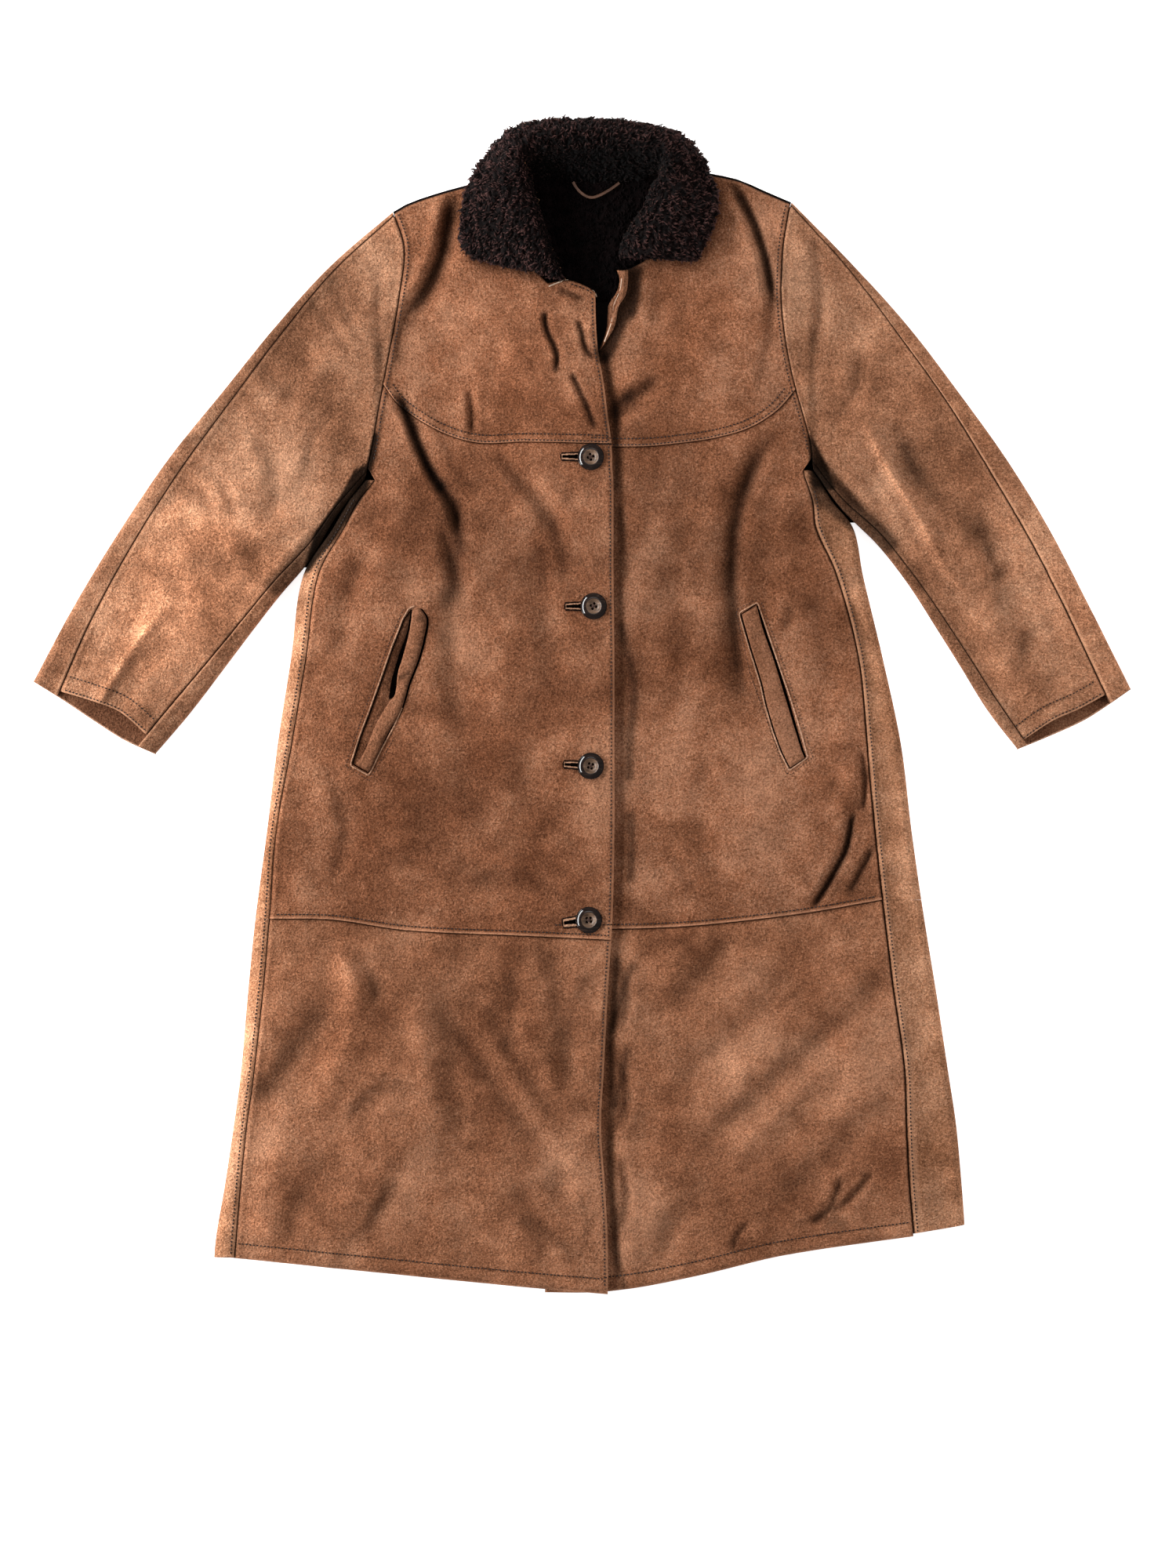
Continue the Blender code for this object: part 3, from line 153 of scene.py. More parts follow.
# ---- folds: height, width, skew | the fold's line --------------------------------------------------
# A negative height is a trough.  The skew makes the bank on its left (+) or right (-) the steeper one.
FOLDS = table("""
# right front's yoke
-4.5 3.2 0.2 | -37.3,411.2 -39.8,404.7 -36.5,391.5 -30.7,379.2 -26.6,367.8 -27.5,353
-3.2 3 0.1 | -5.3,401.4 -0.4,391.5 0.4,381.7 4.5,371 9.4,366.1
-4 3.4 0.1 | -11.1,348.1 -2.9,329.2 3.7,316.1 9.4,300.5 13.5,290.7
-3 3.6 0 | -23.4,435 -10.2,430.9 -0.4,426
-8.2 8.5 0.2 | -134.1,529.3 -140.6,501.4 -145.5,476.8 -155.4,452.2 -166,432.5 -184.1,407.1
-2.5 9 0 | -184.1,407.1 -192.3,378.4 -189,353.8
-4.4 4 0 | -118.5,330.9 -116,312.8 -115.2,283.3
-8.2 6.5 0.3 | -192.3,322.7 -182.4,303.8 -171.8,275.1 -159.5,247.2 -147.2,227.5 -135.7,209.5 -125.9,169.3
2.5 9 0 | -169.3,289.9 -152.9,255.4 -130,221
-2 9 0 | -84,386.6 -93.9,353.8 -90.6,312.8
# right front
-4.2 8.5 0.25 | -87.3,259.5 -61.1,230.8 -36.5,198 -21.7,165.2 -16.8,124.2
2.2 9 0 | -67.6,263.6 -34.9,226.7 -8.6,181.6
-4.5 8 0.1 | -144.7,191.5 -138.2,161.1 -130,125.9 -141.4,107.8
2.6 13 0 | -116.8,173.4 -107,99.6 -111.9,34
2.4 14 0 | -198.8,198 -210.3,140.6 -198.8,91.4
-2 20 0 | -149.6,17.6 -133.2,-64.4 -125,-146.4
-2.4 9 0 | -116.8,-187.4 -84,-179.2 -43,-187.4
3.5 15 0 | -86.5,198 -84,34 -87.3,-130
-3.5 11 0 | -133.2,165.2 -141.4,91.4 -139,25.8 -129.2,-23.4
-2.2 9 0 | -43,-171 -34.9,-203.8 -23.4,-232.5
-2.6 12 0 | -34.9,214.4 -43,116 -34.9,1.2
-3.2 10 0 | -223.4,165.2 -248,116 -256.2,50.4
-2.6 13 0 | -182.4,-89 -149.6,-146.4 -84,-195.6
-2.9 7 0.2 | -264.4,-64.4 -248,-130 -260.3,-179.2
# left front's yoke
-4.6 8.5 -0.2 | 30.7,304.6 38.1,315.3 50.4,324.3 65.2,333.3 76.7,344
-2.8 4 0 | 37.3,304.6 57,312.8 75.8,316.1
-8.1 5.2 -0.2 | 158.7,542.4 173.4,519.5 184.1,495.7 193.9,461.2 199.7,423.5
-2.8 7 0 | 199.7,423.5 194.8,378.4 184.9,329.2
-3 8 0 | 81.6,460.4 78.3,427.6 76.7,394.8
1.9 10 0 | 112.8,456.3 129.2,411.2 120.9,345.6
# left front
-6.5 8.5 -0.3 | 193.1,280 178.3,247.2 166,214.4 159.5,181.6 157,136.5 160.3,91.4 164.4,42.2 170.1,1.2
2.2 8 0 | 198.8,259.5 183.3,206.2 176.7,148.8
-3.2 6 0 | 219.3,103.7 213.6,80.8
-6.2 4.2 0.3 | 242.3,-208.7 252.1,-193.9 263.6,-174.2 276.8,-148 284.1,-108.6
-4 3.5 0.2 | 280,-193.9 293.1,-169.3 305.4,-146.4
3 7 0 | 268.6,-113.6 277.6,-87.3 280,-64.4
-4.2 4.5 0 | 293.1,-48 295.6,-80.8 293.1,-110.3
-2.8 5 0 | 88.1,-151.3 102.9,-172.6 117.7,-193.9
-2 12 0 | 104.5,214.4 98,99.6 112.8,1.2
-2.2 12 0 | 129.2,-48 120.9,-113.6 133.2,-179.2
-2.2 10 0 | 243.9,116 252.1,34 248,-31.6
# skirts
-3.4 8 0.2 | -248,-253 -223.4,-281.7 -215.2,-310.4
3 12 0 | -256.2,-257.1 -241.5,-294 -248,-326.8
-3.4 7 0.2 | -198.8,-384.2 -223.4,-408.8 -243.9,-433.4
-3.6 10 0.1 | -96.3,-318.6 -77.5,-359.6 -43,-408.8 -21.7,-449.8
2.8 14 0 | -182.4,-310.4 -161.9,-376 -149.6,-441.6
2.6 13 0 | -67.6,-318.6 -34.9,-384.2 -6.1,-449.8
-3 9 0 | -272.6,-474.4 -297.2,-523.6 -309.5,-564.6
-2 7 0.2 | -194.8,-474.4 -208.7,-515.4 -223.4,-560.5
2.4 12 0 | -321.8,-466.2 -334.1,-515.4 -338.2,-556.4
-5 15 0 | -271,-314.5 -309.5,-371.9 -344.8,-421.1
-3 12 0 | -159.5,-277.6 -141.4,-351.4 -125,-458
-3.2 11 0 | -133.2,-326.8 -90.6,-404.7 -43,-482.6
-2.2 11 0 | -231.6,-556.4 -205.4,-515.4 -179.2,-482.6
2.8 12 0 | -235.8,-269.4 -248,-359.6 -284.9,-441.6
-3.7 10 0 | -34.9,-257.1 -21.7,-326.8 -13.5,-408.8
-2.8 11 0 | -75.8,-490.8 -51.2,-540 -34.9,-589.2
-3.8 13 0 | 317.8,-284.1 219.3,-371.9 120.9,-459.6
-3 12 0 | 219.3,-277.6 153.8,-343.2 86.5,-404.7
-3.4 14 0 | 334.1,-392.4 268.6,-458 190.6,-527.7
-3 4 0.2 | 239,-541.6 257.1,-526.9 266.9,-507.2 270.2,-489.1
-2.4 4 0 | 263.6,-528.5 283.3,-512.1 303,-487.5
-2.2 3.6 0 | 157,-566.2 163.6,-549.8 173.4,-540
-3.4 11 0 | 153.8,-244.8 120.9,-285.8 79.9,-318.6
-3.4 12 0 | 129.2,-490.8 96.3,-540 76.7,-581
2.5 12 0 | 276.8,-351.4 211.1,-417 145.5,-482.6
-5 5 0 | 40.6,-269.4 47.1,-302.2 40.6,-335
-4.7 5 0 | 37.3,-367.8 47.1,-402.2 38.9,-441.6
-4.7 5 0 | 38.9,-474.4 45.5,-507.2 40.6,-548.2
# right sleeve
-2.4 5 0.1 | -282.5,424.3 -261.2,394.8 -241.5,367.8
-2 4.5 0 | -254.6,434.2 -241.5,401.4 -230,378.4
-2.1 5 0 | -210.3,463.7 -212.8,397.3 -207,358.8
-3 9 0 | -448.9,206.2 -416.1,224.3 -385.8,214.4
3 10 0 | -403.8,191.5 -371,173.4 -354.6,148.8
-1.6 9 0 | -338.2,173.4 -348.1,132.4 -371,91.4
-2.4 7 0 | -436.6,271.8 -403.8,280 -371,270.2
2.6 5.5 0.2 | -507.2,1.2 -477.6,48.8 -441.6,99.6
-1.8 8 0 | -485.8,-2.9 -456.3,42.2 -426.8,83.2
-2.9 7 0 | -338.2,366.1 -320.2,337.4 -297.2,319.4
-2.9 6 0 | -403.8,255.4 -374.3,229.2 -362.8,196.4
-2.3 6 0 | -256.2,312.8 -280.8,280 -287.4,247.2
-2.6 8 0 | -338.2,280 -321.8,239 -330,189.8
-2.3 7 0 | -461.2,148.8 -432.5,136.5 -412,107.8
# left sleeve
4.6 5.5 0.2 | 294,295.6 315.3,253 341.5,211.1 359.6,179.2 378.4,142.3 399.8,120.9
-2.4 12 0.25 | 325.9,288.2 345.6,247.2 375.1,214.4 406.3,191.5 426,161.1 437.5,116 457.1,70.9 480.1,27.5
-1.6 6 0.2 | 335.8,275.1 347.3,250.5 357.1,230.8
-5 5 0 | 245.6,263.6 262,243.1 281.7,221 299.7,202.1
-1.8 7 0 | 293.1,255.4 309.5,214.4 325.9,181.6
-1.2 7 0 | 415.3,202.1 425.2,171.8 426,147.2
-1.2 6 0 | 399.8,280 416.1,247.2 426,214.4
-2.2 6 0 | 473.5,132.4 489.9,91.4 499.8,50.4
2.2 9 0 | 407.9,99.6 428.4,58.6 450.6,21.7
-1.8 7 0 | 368.6,165.2 388.3,116 398.1,79.1
-2.9 6 0 | 243.9,493.2 248.9,427.6 243.9,370.2
-3.1 7 0 | 293.1,370.2 284.9,329.2 262,296.4
-1.2 6 0 | 366.9,280 362,247.2 371,214.4
-1.6 6 0 | 448.9,148.8 426,128.3 407.9,95.5
-2.3 7 0 | 489.9,91.4 465.3,66.8 457.1,34
2.6 8 0 | 387.4,214.4 403.8,165.2 432.5,124.2
""")


# ---- painted light and shade spots: x, y, radius, stops of brightness -------------------------------
PAINTED_LIGHT_SPOTS = [
    (-116.8, 132.4, 70, -0.3), (-108.6, -150.5, 60, 0.2), (-412, 173.4, 70, 0.12), (-420.2, 116, 110, 0.36),
    (473.5, 75, 90, 0.22), (358.8, 198, 60, 0.1), (-280.8, 394.8, 90, -0.34), (284.9, 419.4, 80, -0.42),
    (112.8, -80.8, 70, 0.22), (96.3, 165.2, 80, -0.18), (178.3, -392.4, 120, -0.05),
    (-375.1, 161.1, 75, 0.5), (-457.1, 83.2, 62, 0.28), (-248, 353.8, 55, 0.12), (-321.8, 280, 60, 0.05),
    (276.8, 394.8, 60, 0.3), (354.6, 255.4, 34, -0.15), (481.7, 83.2, 60, 0.1), (309.5, 312.8, 40, 0.15),
    (266.9, -23.4, 48, 0.28), (178.3, -408.8, 140, 0.12), (-100.4, -146.4, 90, -0.22),
    (-149.6, 214.4, 50, -0.25), (-264.4, -326.8, 80, 0.18), (-116.8, -318.6, 40, -0.15),
    (-84, 378.4, 80, 0.1), (-194.8, 386.6, 36, -0.3), (71.8, 255.4, 60, -0.25), (112.8, 83.2, 80, -0.05),
    (-280.8, -171, 60, -0.12), (211.1, 370.2, 50, -0.15),
]


# ---- painted shade in hollows and painted highlights on ridges: stops, width | line -----------------
PAINTED_SHADE_LINES = table("""
# beside the placket, in the valley under its edge
-0.4 3 | 24.2,366.1 29.9,329.2 35.7,304.6 34.9,280 35.7,230.8 37.3,165.2 38.9,116 40.6,66.8 44.7,17.6 48,-48
  50.4,-130 48,-212 43,-257.1
-1.4 4 | 24.2,366.1 29.9,329.2 34.9,304.6 34.9,280 36.5,255.4 35.7,230.8
-1.1 4 | 38.9,206.2 43,173.4 44.7,136.5
-1.5 5 | 41.4,83.2 47.1,58.6 53.7,25.8 53.7,1.2 49.6,-39.8 48.8,-72.6
-1.3 4 | 49.6,-113.6 52.1,-146.4 50.4,-179.2
-1.6 4.2 | 35.7,-265.3 32.4,-326.8 29.1,-351.4 32.4,-408.8 29.1,-466.2 32.4,-523.6 35.7,-572.8 43,-605.6
-1.5 4 | 52.1,-271 40.6,-302.2 30.7,-336.6
-1.2 4 | 47.1,-359.6 40.6,-392.4 34,-417
-0.2 16 | 43,280 49.6,83.2 52.1,-162.8 43.9,-367.8 47.1,-572.8
# yokes
0.3 60 | -130,470 -90,380 -60,300
0.3 60 | 140,470 130,380 90,300
-2.2 2.3 | -39.8,409.6 -35.7,390.7 -29.9,377.6 -26.6,365.3 -27.5,352.2
-2.2 2.3 | -3.7,401.4 0.4,388.3 2.9,376.8 9.4,366.1
-1.7 2.3 | -9.4,345.6 -2,329.2 4.5,314.5 11.9,294.8
-1.2 2.6 | -21.7,435 -10.2,430.9 -0.4,426.8
-1.5 7 | 31.6,304.6 38.9,316.1 48.8,323.5
-0.6 6 | 48.8,323.5 63.5,332.5 75,342.3
-0.9 6 | -134.1,529.3 -140.6,501.4 -145.5,476.8 -155.4,452.2 -166,432.5
-0.8 6 | 158.7,542.4 173.4,519.5 184.1,495.7 193.9,461.2 199.7,423.5
# fronts
-2.8 4.2 | -189,319.4 -176.7,284.1 -161.9,252.1 -148,229.2
-1.1 7 | -148,229.2 -137.3,198 -125.9,165.2
-0.5 8 | 198.8,280 180.8,247.2 166,211.1 160.3,173.4 157.8,132.4 161.9,83.2
-2.2 3 | 243.9,-205.4 253.8,-190.6 265.3,-171 276.8,-146.4 281.7,-117.7
-1.1 5 | 280,-193.9 293.1,-169.3 303,-149.6
-1 4 | -212.8,378.4 -214.4,312.8 -216.1,278.4
-0.8 4 | 241.5,394.8 239.8,329.2 241.5,280
# skirts
0.25 14 | -251.3,-277.6 -239.8,-318.6 -257.9,-359.6 -280.8,-408.8
0.3 13 | -216.9,-408.8 -243.1,-466.2 -256.2,-515.4
0.25 16 | -321.8,-425.2 -334.1,-507.2 -336.6,-564.6
-0.3 12 | -144.7,-290.7 -139.8,-351.4 -149.6,-425.2 -159.5,-490.8
-0.35 7 | -125.9,-348.9 -84,-408.8 -43,-466.2 -25,-523.6
-0.4 8 | -284.9,-344 -318.6,-373.5 -338.2,-408.8
-0.3 6 | -241.5,-556.4 -218.5,-531.8 -198,-499.8
-0.45 7 | -190.6,-394 -215.2,-408.8 -233.3,-441.6
0.25 5 | -182.4,-389.1 -198.8,-385.8 -220.2,-395.6
0.25 8 | -107,-326.8 -67.6,-400.6 -22.5,-466.2 -6.1,-515.4
-0.45 6 | -77.5,-277.6 -75.8,-326.8 -84,-359.6
0.2 6 | -61.1,-277.6 -61.1,-326.8 -67.6,-359.6
-0.5 5 | -16.8,-351.4 -11.9,-318.6 2.9,-285.8
-0.6 7 | -59.4,-540 -38.1,-548.2 -11.9,-572.8
-0.4 4 | -0.4,-515.4 4.5,-540 -2,-572.8
-1.3 3.2 | 243.9,-536.7 257.9,-525.2 266.1,-507.2 269.4,-494
-0.9 3.4 | 262,-526.9 281.7,-510.4 298.1,-490.8
-0.6 5 | 224.3,-540 243.9,-533.4 272.6,-540
-1 3 | 157,-566.2 162.8,-550.6 171.8,-541.6
-0.5 3.4 | 102.9,-241.5 112.8,-253 125.9,-262.8
0.12 22 | 243.9,-302.2 161.9,-392.4 96.3,-441.6
0.08 20 | 293.1,-408.8 219.3,-474.4 153.8,-540
# sleeves
0.42 3 | 294,295.6 315.3,253 341.5,211.1 359.6,179.2 378.4,142.3 399.8,120.9
-0.42 15 | 327.6,286.6 348.9,243.9 378.4,214.4 407.9,189.8 426,161.1 439.1,116 457.1,73.4 480.1,29.1
-0.35 6 | 335.8,271.8 352.2,237.4
-0.2 7 | 417,198 426,165.2
0.15 16 | 272.6,345.6 301.3,280 334.1,206.2 366.9,140.6 391.5,99.6
0.12 10 | 309.5,394.8 366.9,296.4 432.5,198 481.7,116 518.6,42.2
0.2 12 | 404.7,91.4 426,50.4 444.8,13.5
0.45 2.6 | -505.5,7.8 -477.6,52.1 -441.6,102.9
-0.4 5 | -499,1.2 -469.4,43.9 -435,91.4
-0.5 12 | -258,455 -315,390 -369,322 -423,254 -471,182 -519,102 -562,22
-0.7 8 | -266,203 -292,160 -324,122 -355,82 -385,42 -418,0 -452,-42
0.25 12 | 273,459 330,394 383,325 432,255 478,181 520,98 562,16
-0.6 8 | 280,212 317,175 348,134 375,92 402,50 431,3 462,-38
-0.25 9 | -264.4,353.8 -280.8,312.8 -303.8,280
0.22 8 | -276.8,370.2 -293.1,329.2 -317.8,292.3
-0.35 12 | -362.8,280 -394,253.8 -421.9,247.2
-0.35 10 | -284.9,247.2 -321.8,214.4 -362.8,206.2
-0.3 10 | -334.1,173.4 -371,152.9 -412,148.8
0.2 12 | -416.1,165.2 -453,107.8 -494,42.2
# side strips, lit from beside
0.85 8.5 | -280,138 -297,50 -311,-40 -324,-130 -335,-220 -342,-300 -358,-440 -378,-570
0.55 8.5 | 288,120 306,50 323,-40 333,-130 345,-220 357,-300 377,-440 390,-560
""")
# painted shadow pools: stops, softness | outline
PAINTED_SHADOW_POOLS = table("""
-4.5 2.2 | -216.1,283.3 -223.4,252.1 -236.6,245.6 -243.1,232.5 -262,202.9 -277.6,181.6 -282.5,163.6
  -288.2,142.3 -275.9,158.7 -261.2,175.1 -244.8,199.7 -234.9,214.4 -225.9,229.2 -224.3,240.7 -218.5,263.6
-1.3 3.5 | -277.6,183.3 -297.2,163.6 -330,128.3 -320.2,119.3 -287.4,143.9 -280.8,165.2
-1.7 4.5 | 243.9,255.4 260.3,239 280.8,214.4 303,196.4 325.9,171.8 319.4,163.6 296.4,178.3 272.6,196.4
  252.1,212.8 243.9,214.4 242.3,234.9
-3.2 2.4 | 238.2,280 244.8,270.2 253.8,248.9 262,229.2 248.9,229.2 242.3,229.2 240.7,247.2
-3.4 5 | 49.6,456.3 58.6,456.3 55.3,427.6 51.2,411.2 43.9,406.3 37.3,391.5 27.5,368.6 21.7,363.7 18.4,370.2
  29.9,394 36.5,408.8 43.9,426.8 48,444.8
""")


def within(x, y, ring):
    """Which points lie inside a closed outline."""
    inside = np.zeros(x.shape, bool)
    for (ax, ay), (bx, by) in zip(ring, np.roll(ring, -1, axis=0)):
        inside ^= ((ay > y) != (by > y)) & (x < (bx - ax) * (y - ay) / (by - ay + 1e-9) + ax)
    return inside


def tone(x, y):
    """Stops of brightness: random tone, painted light and shade spots, painted shade in valleys, painted
    highlights on ridges, painted shadow pools and the collar's soft shade.
    """
    total = 0.24 * noise(x, y, 60, 53) + 0.28 * noise(x, y, 24, 51)
    for cx, cy, radius, gain in PAINTED_LIGHT_SPOTS:
        total += gain * np.exp(-((x - cx)**2 + (y - cy)**2) / radius**2)
    for gain, width, points in PAINTED_SHADE_LINES:
        line = Line(points).p
        near = box_near(x, y, line, 3 * width)
        if near.any():
            total[near] += gain * np.exp(-(distance(x[near], y[near], segments(line)) / width)**2)
    for gain, soft, points in PAINTED_SHADOW_POOLS:
        ring = np.array(points + points[:1])
        near = box_near(x, y, ring, 3 * soft)
        if near.any():
            d = distance(x[near], y[near], segments(ring))
            total[near] += gain * np.where(within(x[near], y[near], ring[:-1]), 1, np.exp(-(d / soft)**2))
    return total - COLLAR_STOPS * collar_shade(x, y)


def box_near(x, y, points, margin):
    """Which points lie in the box round a line, with a margin."""
    low, high = points.min(axis=0) - margin, points.max(axis=0) + margin
    return (x > low[0]) & (x < high[0]) & (y > low[1]) & (y < high[1])


def cast_shade(node, cell=2.5, shift=(3.5, -3.5), passes=7):
    """Soft plan shadow of a CAD node: a blurred mask with its corner and cell size."""
    mesh = bpy.data.objects[node].data
    tree = BVHTree.FromPolygons([v.co / MM for v in mesh.vertices], [list(p.vertices) for p in mesh.polygons])
    low, high = (np.array(corner[:2]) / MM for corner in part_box(node))
    low, high = low - 30, high + 30
    xs, ys = (np.arange(low[k], high[k], cell) - shift[k] for k in (0, 1))
    mask = np.array([[drop(tree, x, y) is not None for x in xs] for y in ys], dtype=float)
    for _ in range(passes):
        mask[1:-1] = (mask[:-2] + 2 * mask[1:-1] + mask[2:]) / 4
        mask[:, 1:-1] = (mask[:, :-2] + 2 * mask[:, 1:-1] + mask[:, 2:]) / 4
    return mask, low, cell


def drop(tree, x, y):
    """Where a ray straight down meets a tree's surface, or None."""
    return tree.ray_cast(Vector((x, y, ABOVE)), Vector((0, 0, -1)))[0]


def collar_shade(x, y):
    """The collar's blurred mask, read between its cells."""
    mask, low, cell = COLLAR_SHADE
    column = np.clip((x - low[0]) / cell, 0, mask.shape[1] - 1.001)
    row = np.clip((y - low[1]) / cell, 0, mask.shape[0] - 1.001)
    c, r = column.astype(int), row.astype(int)
    fc, fr = column - c, row - r
    return ((mask[r, c] * (1 - fc) + mask[r, c + 1] * fc) * (1 - fr)
            + (mask[r + 1, c] * (1 - fc) + mask[r + 1, c + 1] * fc) * fr)


COLLAR_SHADE = cast_shade("collar")


def place(points):
    """Millimetres to metres."""
    return np.asarray(points, dtype=float) * MM


# ---- lines ----------------------------------------------------------------------------------------
class Line:
    """A smooth line through points in plan, read by share of length or by y."""

    def __init__(self, points, straight=False):
        points = [tuple(map(float, p)) for p in points]
        if straight:
            self.p = np.array(points)
        else:
            ends = [points[0]] + points + [points[-1]]
            found = []
            for p0, p1, p2, p3 in zip(ends, ends[1:], ends[2:], ends[3:]):
                for step in range(10):
                    found.append(self.blend(p0, p1, p2, p3, step / 10))
            self.p = np.array(found + [points[-1]])
        self.s = np.concatenate([[0], np.cumsum(np.linalg.norm(np.diff(self.p, axis=0), axis=1))])
        self.length = self.s[-1]

    @staticmethod
    def blend(p0, p1, p2, p3, t):
        """Point at share t between p1 and p2, its slopes tamed where points lie close."""
        span = max(math.dist(p1, p2), 1e-6)
        before = max(math.dist(p0, p1), span * 0.5)
        after = max(math.dist(p2, p3), span * 0.5)
        found = []
        for a, b, c, d in zip(p0, p1, p2, p3):
            start = (c - a) * span / (before + span)
            end = (d - b) * span / (span + after)
            found.append((2 * t**3 - 3 * t**2 + 1) * b + (t**3 - 2 * t**2 + t) * start
                         + (3 * t**2 - 2 * t**3) * c + (t**3 - t**2) * end)
        return tuple(found)

    def at(self, u):
        """Points at shares of the length."""
        wanted = np.clip(u, 0, 1) * self.length
        return np.stack([np.interp(wanted, self.s, self.p[:, k]) for k in range(self.p.shape[1])], -1)

    def x_at(self, y):
        return np.interp(y, self.p[:, 1], self.p[:, 0])

    def climb(self, low, high, count=60):
        """Points at equal steps of y."""
        ys = np.linspace(low, high, count)
        return np.stack([self.x_at(ys), ys], -1)


def body_line(column):
    """A line up the body from one column of its table."""
    return Line(BODY[:, (column, 0)])


RIGHT_SIDE, RIGHT_SEAM, OVER_EDGE, UNDER_EDGE, LEFT_SEAM, LEFT_SIDE = map(body_line, range(1, 7))
SIDE = {"right": RIGHT_SIDE, "left": LEFT_SIDE}
SEAM = {"right": RIGHT_SEAM, "left": LEFT_SEAM}


def joined(*runs):
    """One straight-piece line through several runs of points."""
    points = [tuple(p) for p in runs[0]]
    for p in (p for run in runs[1:] for p in run):
        if math.dist(p, points[-1]) > 0.3:
            points.append(tuple(p))
    return Line(points, straight=True)


def segments(line):
    """The straight pieces of a line, as rows of ax, ay, bx, by."""
    return np.hstack([line[:-1], line[1:]])


def distance(x, y, segs):
    """Least distance from points to any of the straight pieces."""
    best = np.full(x.shape, FAR)
    for ax, ay, bx, by in segs:
        dx, dy = bx - ax, by - ay
        t = np.clip(((x - ax) * dx + (y - ay) * dy) / max(dx * dx + dy * dy, 1e-9), 0, 1)
        best = np.minimum(best, (x - ax - dx * t)**2 + (y - ay - dy * t)**2)
    return np.sqrt(best)


def ease(t):
    """Smooth step from 0 to 1."""
    t = np.clip(t, 0, 1)
    return t * t * (3 - 2 * t)


# ---- noise ----------------------------------------------------------------------------------------
def corner_weight(t):
    """Weight of a grid corner, smoother than ease."""
    return t * t * t * (t * (t * 6 - 15) + 10)


def noise(x, y, size, seed):
    """Smooth gradient noise in two octaves, about -1 to 1, with features of the given size in mm."""
    total = np.zeros(np.shape(x))
    for octave, weight in enumerate((1.0, 0.5)):
        gx, gy = np.asarray(x) / (size * weight), np.asarray(y) / (size * weight)
        ix, iy = np.floor(gx).astype(np.int64), np.floor(gy).astype(np.int64)
        fx, fy = gx - ix, gy - iy
        value = 0.0
        for cx, cy in ((0, 0), (0, 1), (1, 0), (1, 1)):
            h = ((ix + cx) * 374761393 + (iy + cy) * 668265263 + (seed + octave * 17) * 144665) & 0x7FFFFFFF
            h = ((h ^ (h >> 13)) * 1274126177) & 0x7FFFFFFF
            angle = (h & 0xFFFF) / 65536 * 2 * math.pi
            near = corner_weight(fx if cx else 1 - fx) * corner_weight(fy if cy else 1 - fy)
            value = value + near * (np.cos(angle) * (fx - cx) + np.sin(angle) * (fy - cy))
        total = total + 1.4 * weight * value
    return total


# ---- heights --------------------------------------------------------------------------------------
OUTLINE = np.vstack(
    [segments(SIDE[side].climb(-615, UNDERARM[side], 24)) for side in SIDE]
    + [segments(Line(SHOULDER[side]).at(np.linspace(0, 1, 7))) for side in SHOULDER]
    + [segments(Line(SLEEVE[side]).at(np.linspace(0, 1, 13))[:, k:k + 2]) for side in SLEEVE for k in (0, 4)])


def fold_relief(x, y):
    """Summed height of the folds: each fades at its ends and has a slight wave beside it."""
    total = np.zeros(x.shape)
    for height, width, skew, points in FOLDS:
        line = Line(points)
        near = box_near(x, y, line.p, 4 * width)
        if not near.any():
            continue
        px, py = x[near], y[near]
        best, side, along = np.full(px.shape, FAR), np.zeros(px.shape), np.zeros(px.shape)
        for (ax, ay), (bx, by), s in zip(line.p, line.p[1:], line.s):
            dx, dy = bx - ax, by - ay
            size = math.hypot(dx, dy)
            raw = ((px - ax) * dx + (py - ay) * dy) / size
            t = np.clip(raw, 0, size)
            gap = np.hypot(px - ax - dx * t / size, py - ay - dy * t / size)
            nearer = gap < best
            best = np.where(nearer, gap, best)
            side = np.where(nearer, np.sign((px - ax) * dy - (py - ay) * dx), side)
            along = np.where(nearer, (s + raw) / line.length, along)
        reach = width * (1 - skew * side)
        fade = ease(along / 0.22 + 0.45) * ease((1 - along) / 0.3 + 0.35)
        wave = 0.28 * np.exp(-((best - 2.2 * reach) / (0.9 * reach))**2)
        total[near] += height * fade * (np.exp(-(best / reach)**2) - wave)
    return total


def level(x, y):
    """Upper face: calm under the buttons, looser in the sleeves, rounded off towards the outline."""
    loose = 1 + 0.6 * ease((np.abs(x) - 250) / 40) * ease((y + 60) / 20)
    soft = 1.8 * noise(x, y, 80, 3) + loose * (1.25 * noise(x, y, 34, 5) + 0.45 * noise(x, y, 13, 9))
    calm = np.zeros(x.shape)
    for bx, by in BUTTONS.values():
        calm = np.maximum(calm, np.exp(-((x - bx)**2 + (y - by)**2) / BUTTON_CALM**2))
    edge = EDGE_DROP * np.exp(-distance(x, y, OUTLINE) / EDGE_REACH)
    return TOP_LEVEL + fold_relief(x, y) * (1 - calm) - edge + soft * (1 - calm)


def over_level(x, y):
    """The wearer's right front, lying over the left one."""
    rise = OVERLAP_RISE * ease((x - UNDER_EDGE.x_at(np.minimum(y, 275)) + 70) / 60)
    return np.maximum(level(x, y) + rise, np.where(x > -60, 15.8, LEAST_LEVEL))


def under_level(x, y):
    """The wearer's left front, pressed down beside the right one's edge."""
    pressed = ease((x - OVER_EDGE.x_at(y) - PLACKET_MARGIN) / VALLEY_WIDTH)
    lip = 4.0 * ease((y - 375) / 40) * np.exp(-((x - UNDER_EDGE.x_at(y)) / 6)**2)
    low = UNDERLAP_LEVEL - 1.2
    return np.maximum(low + (level(x, y) - low) * pressed + lip, LEAST_LEVEL)


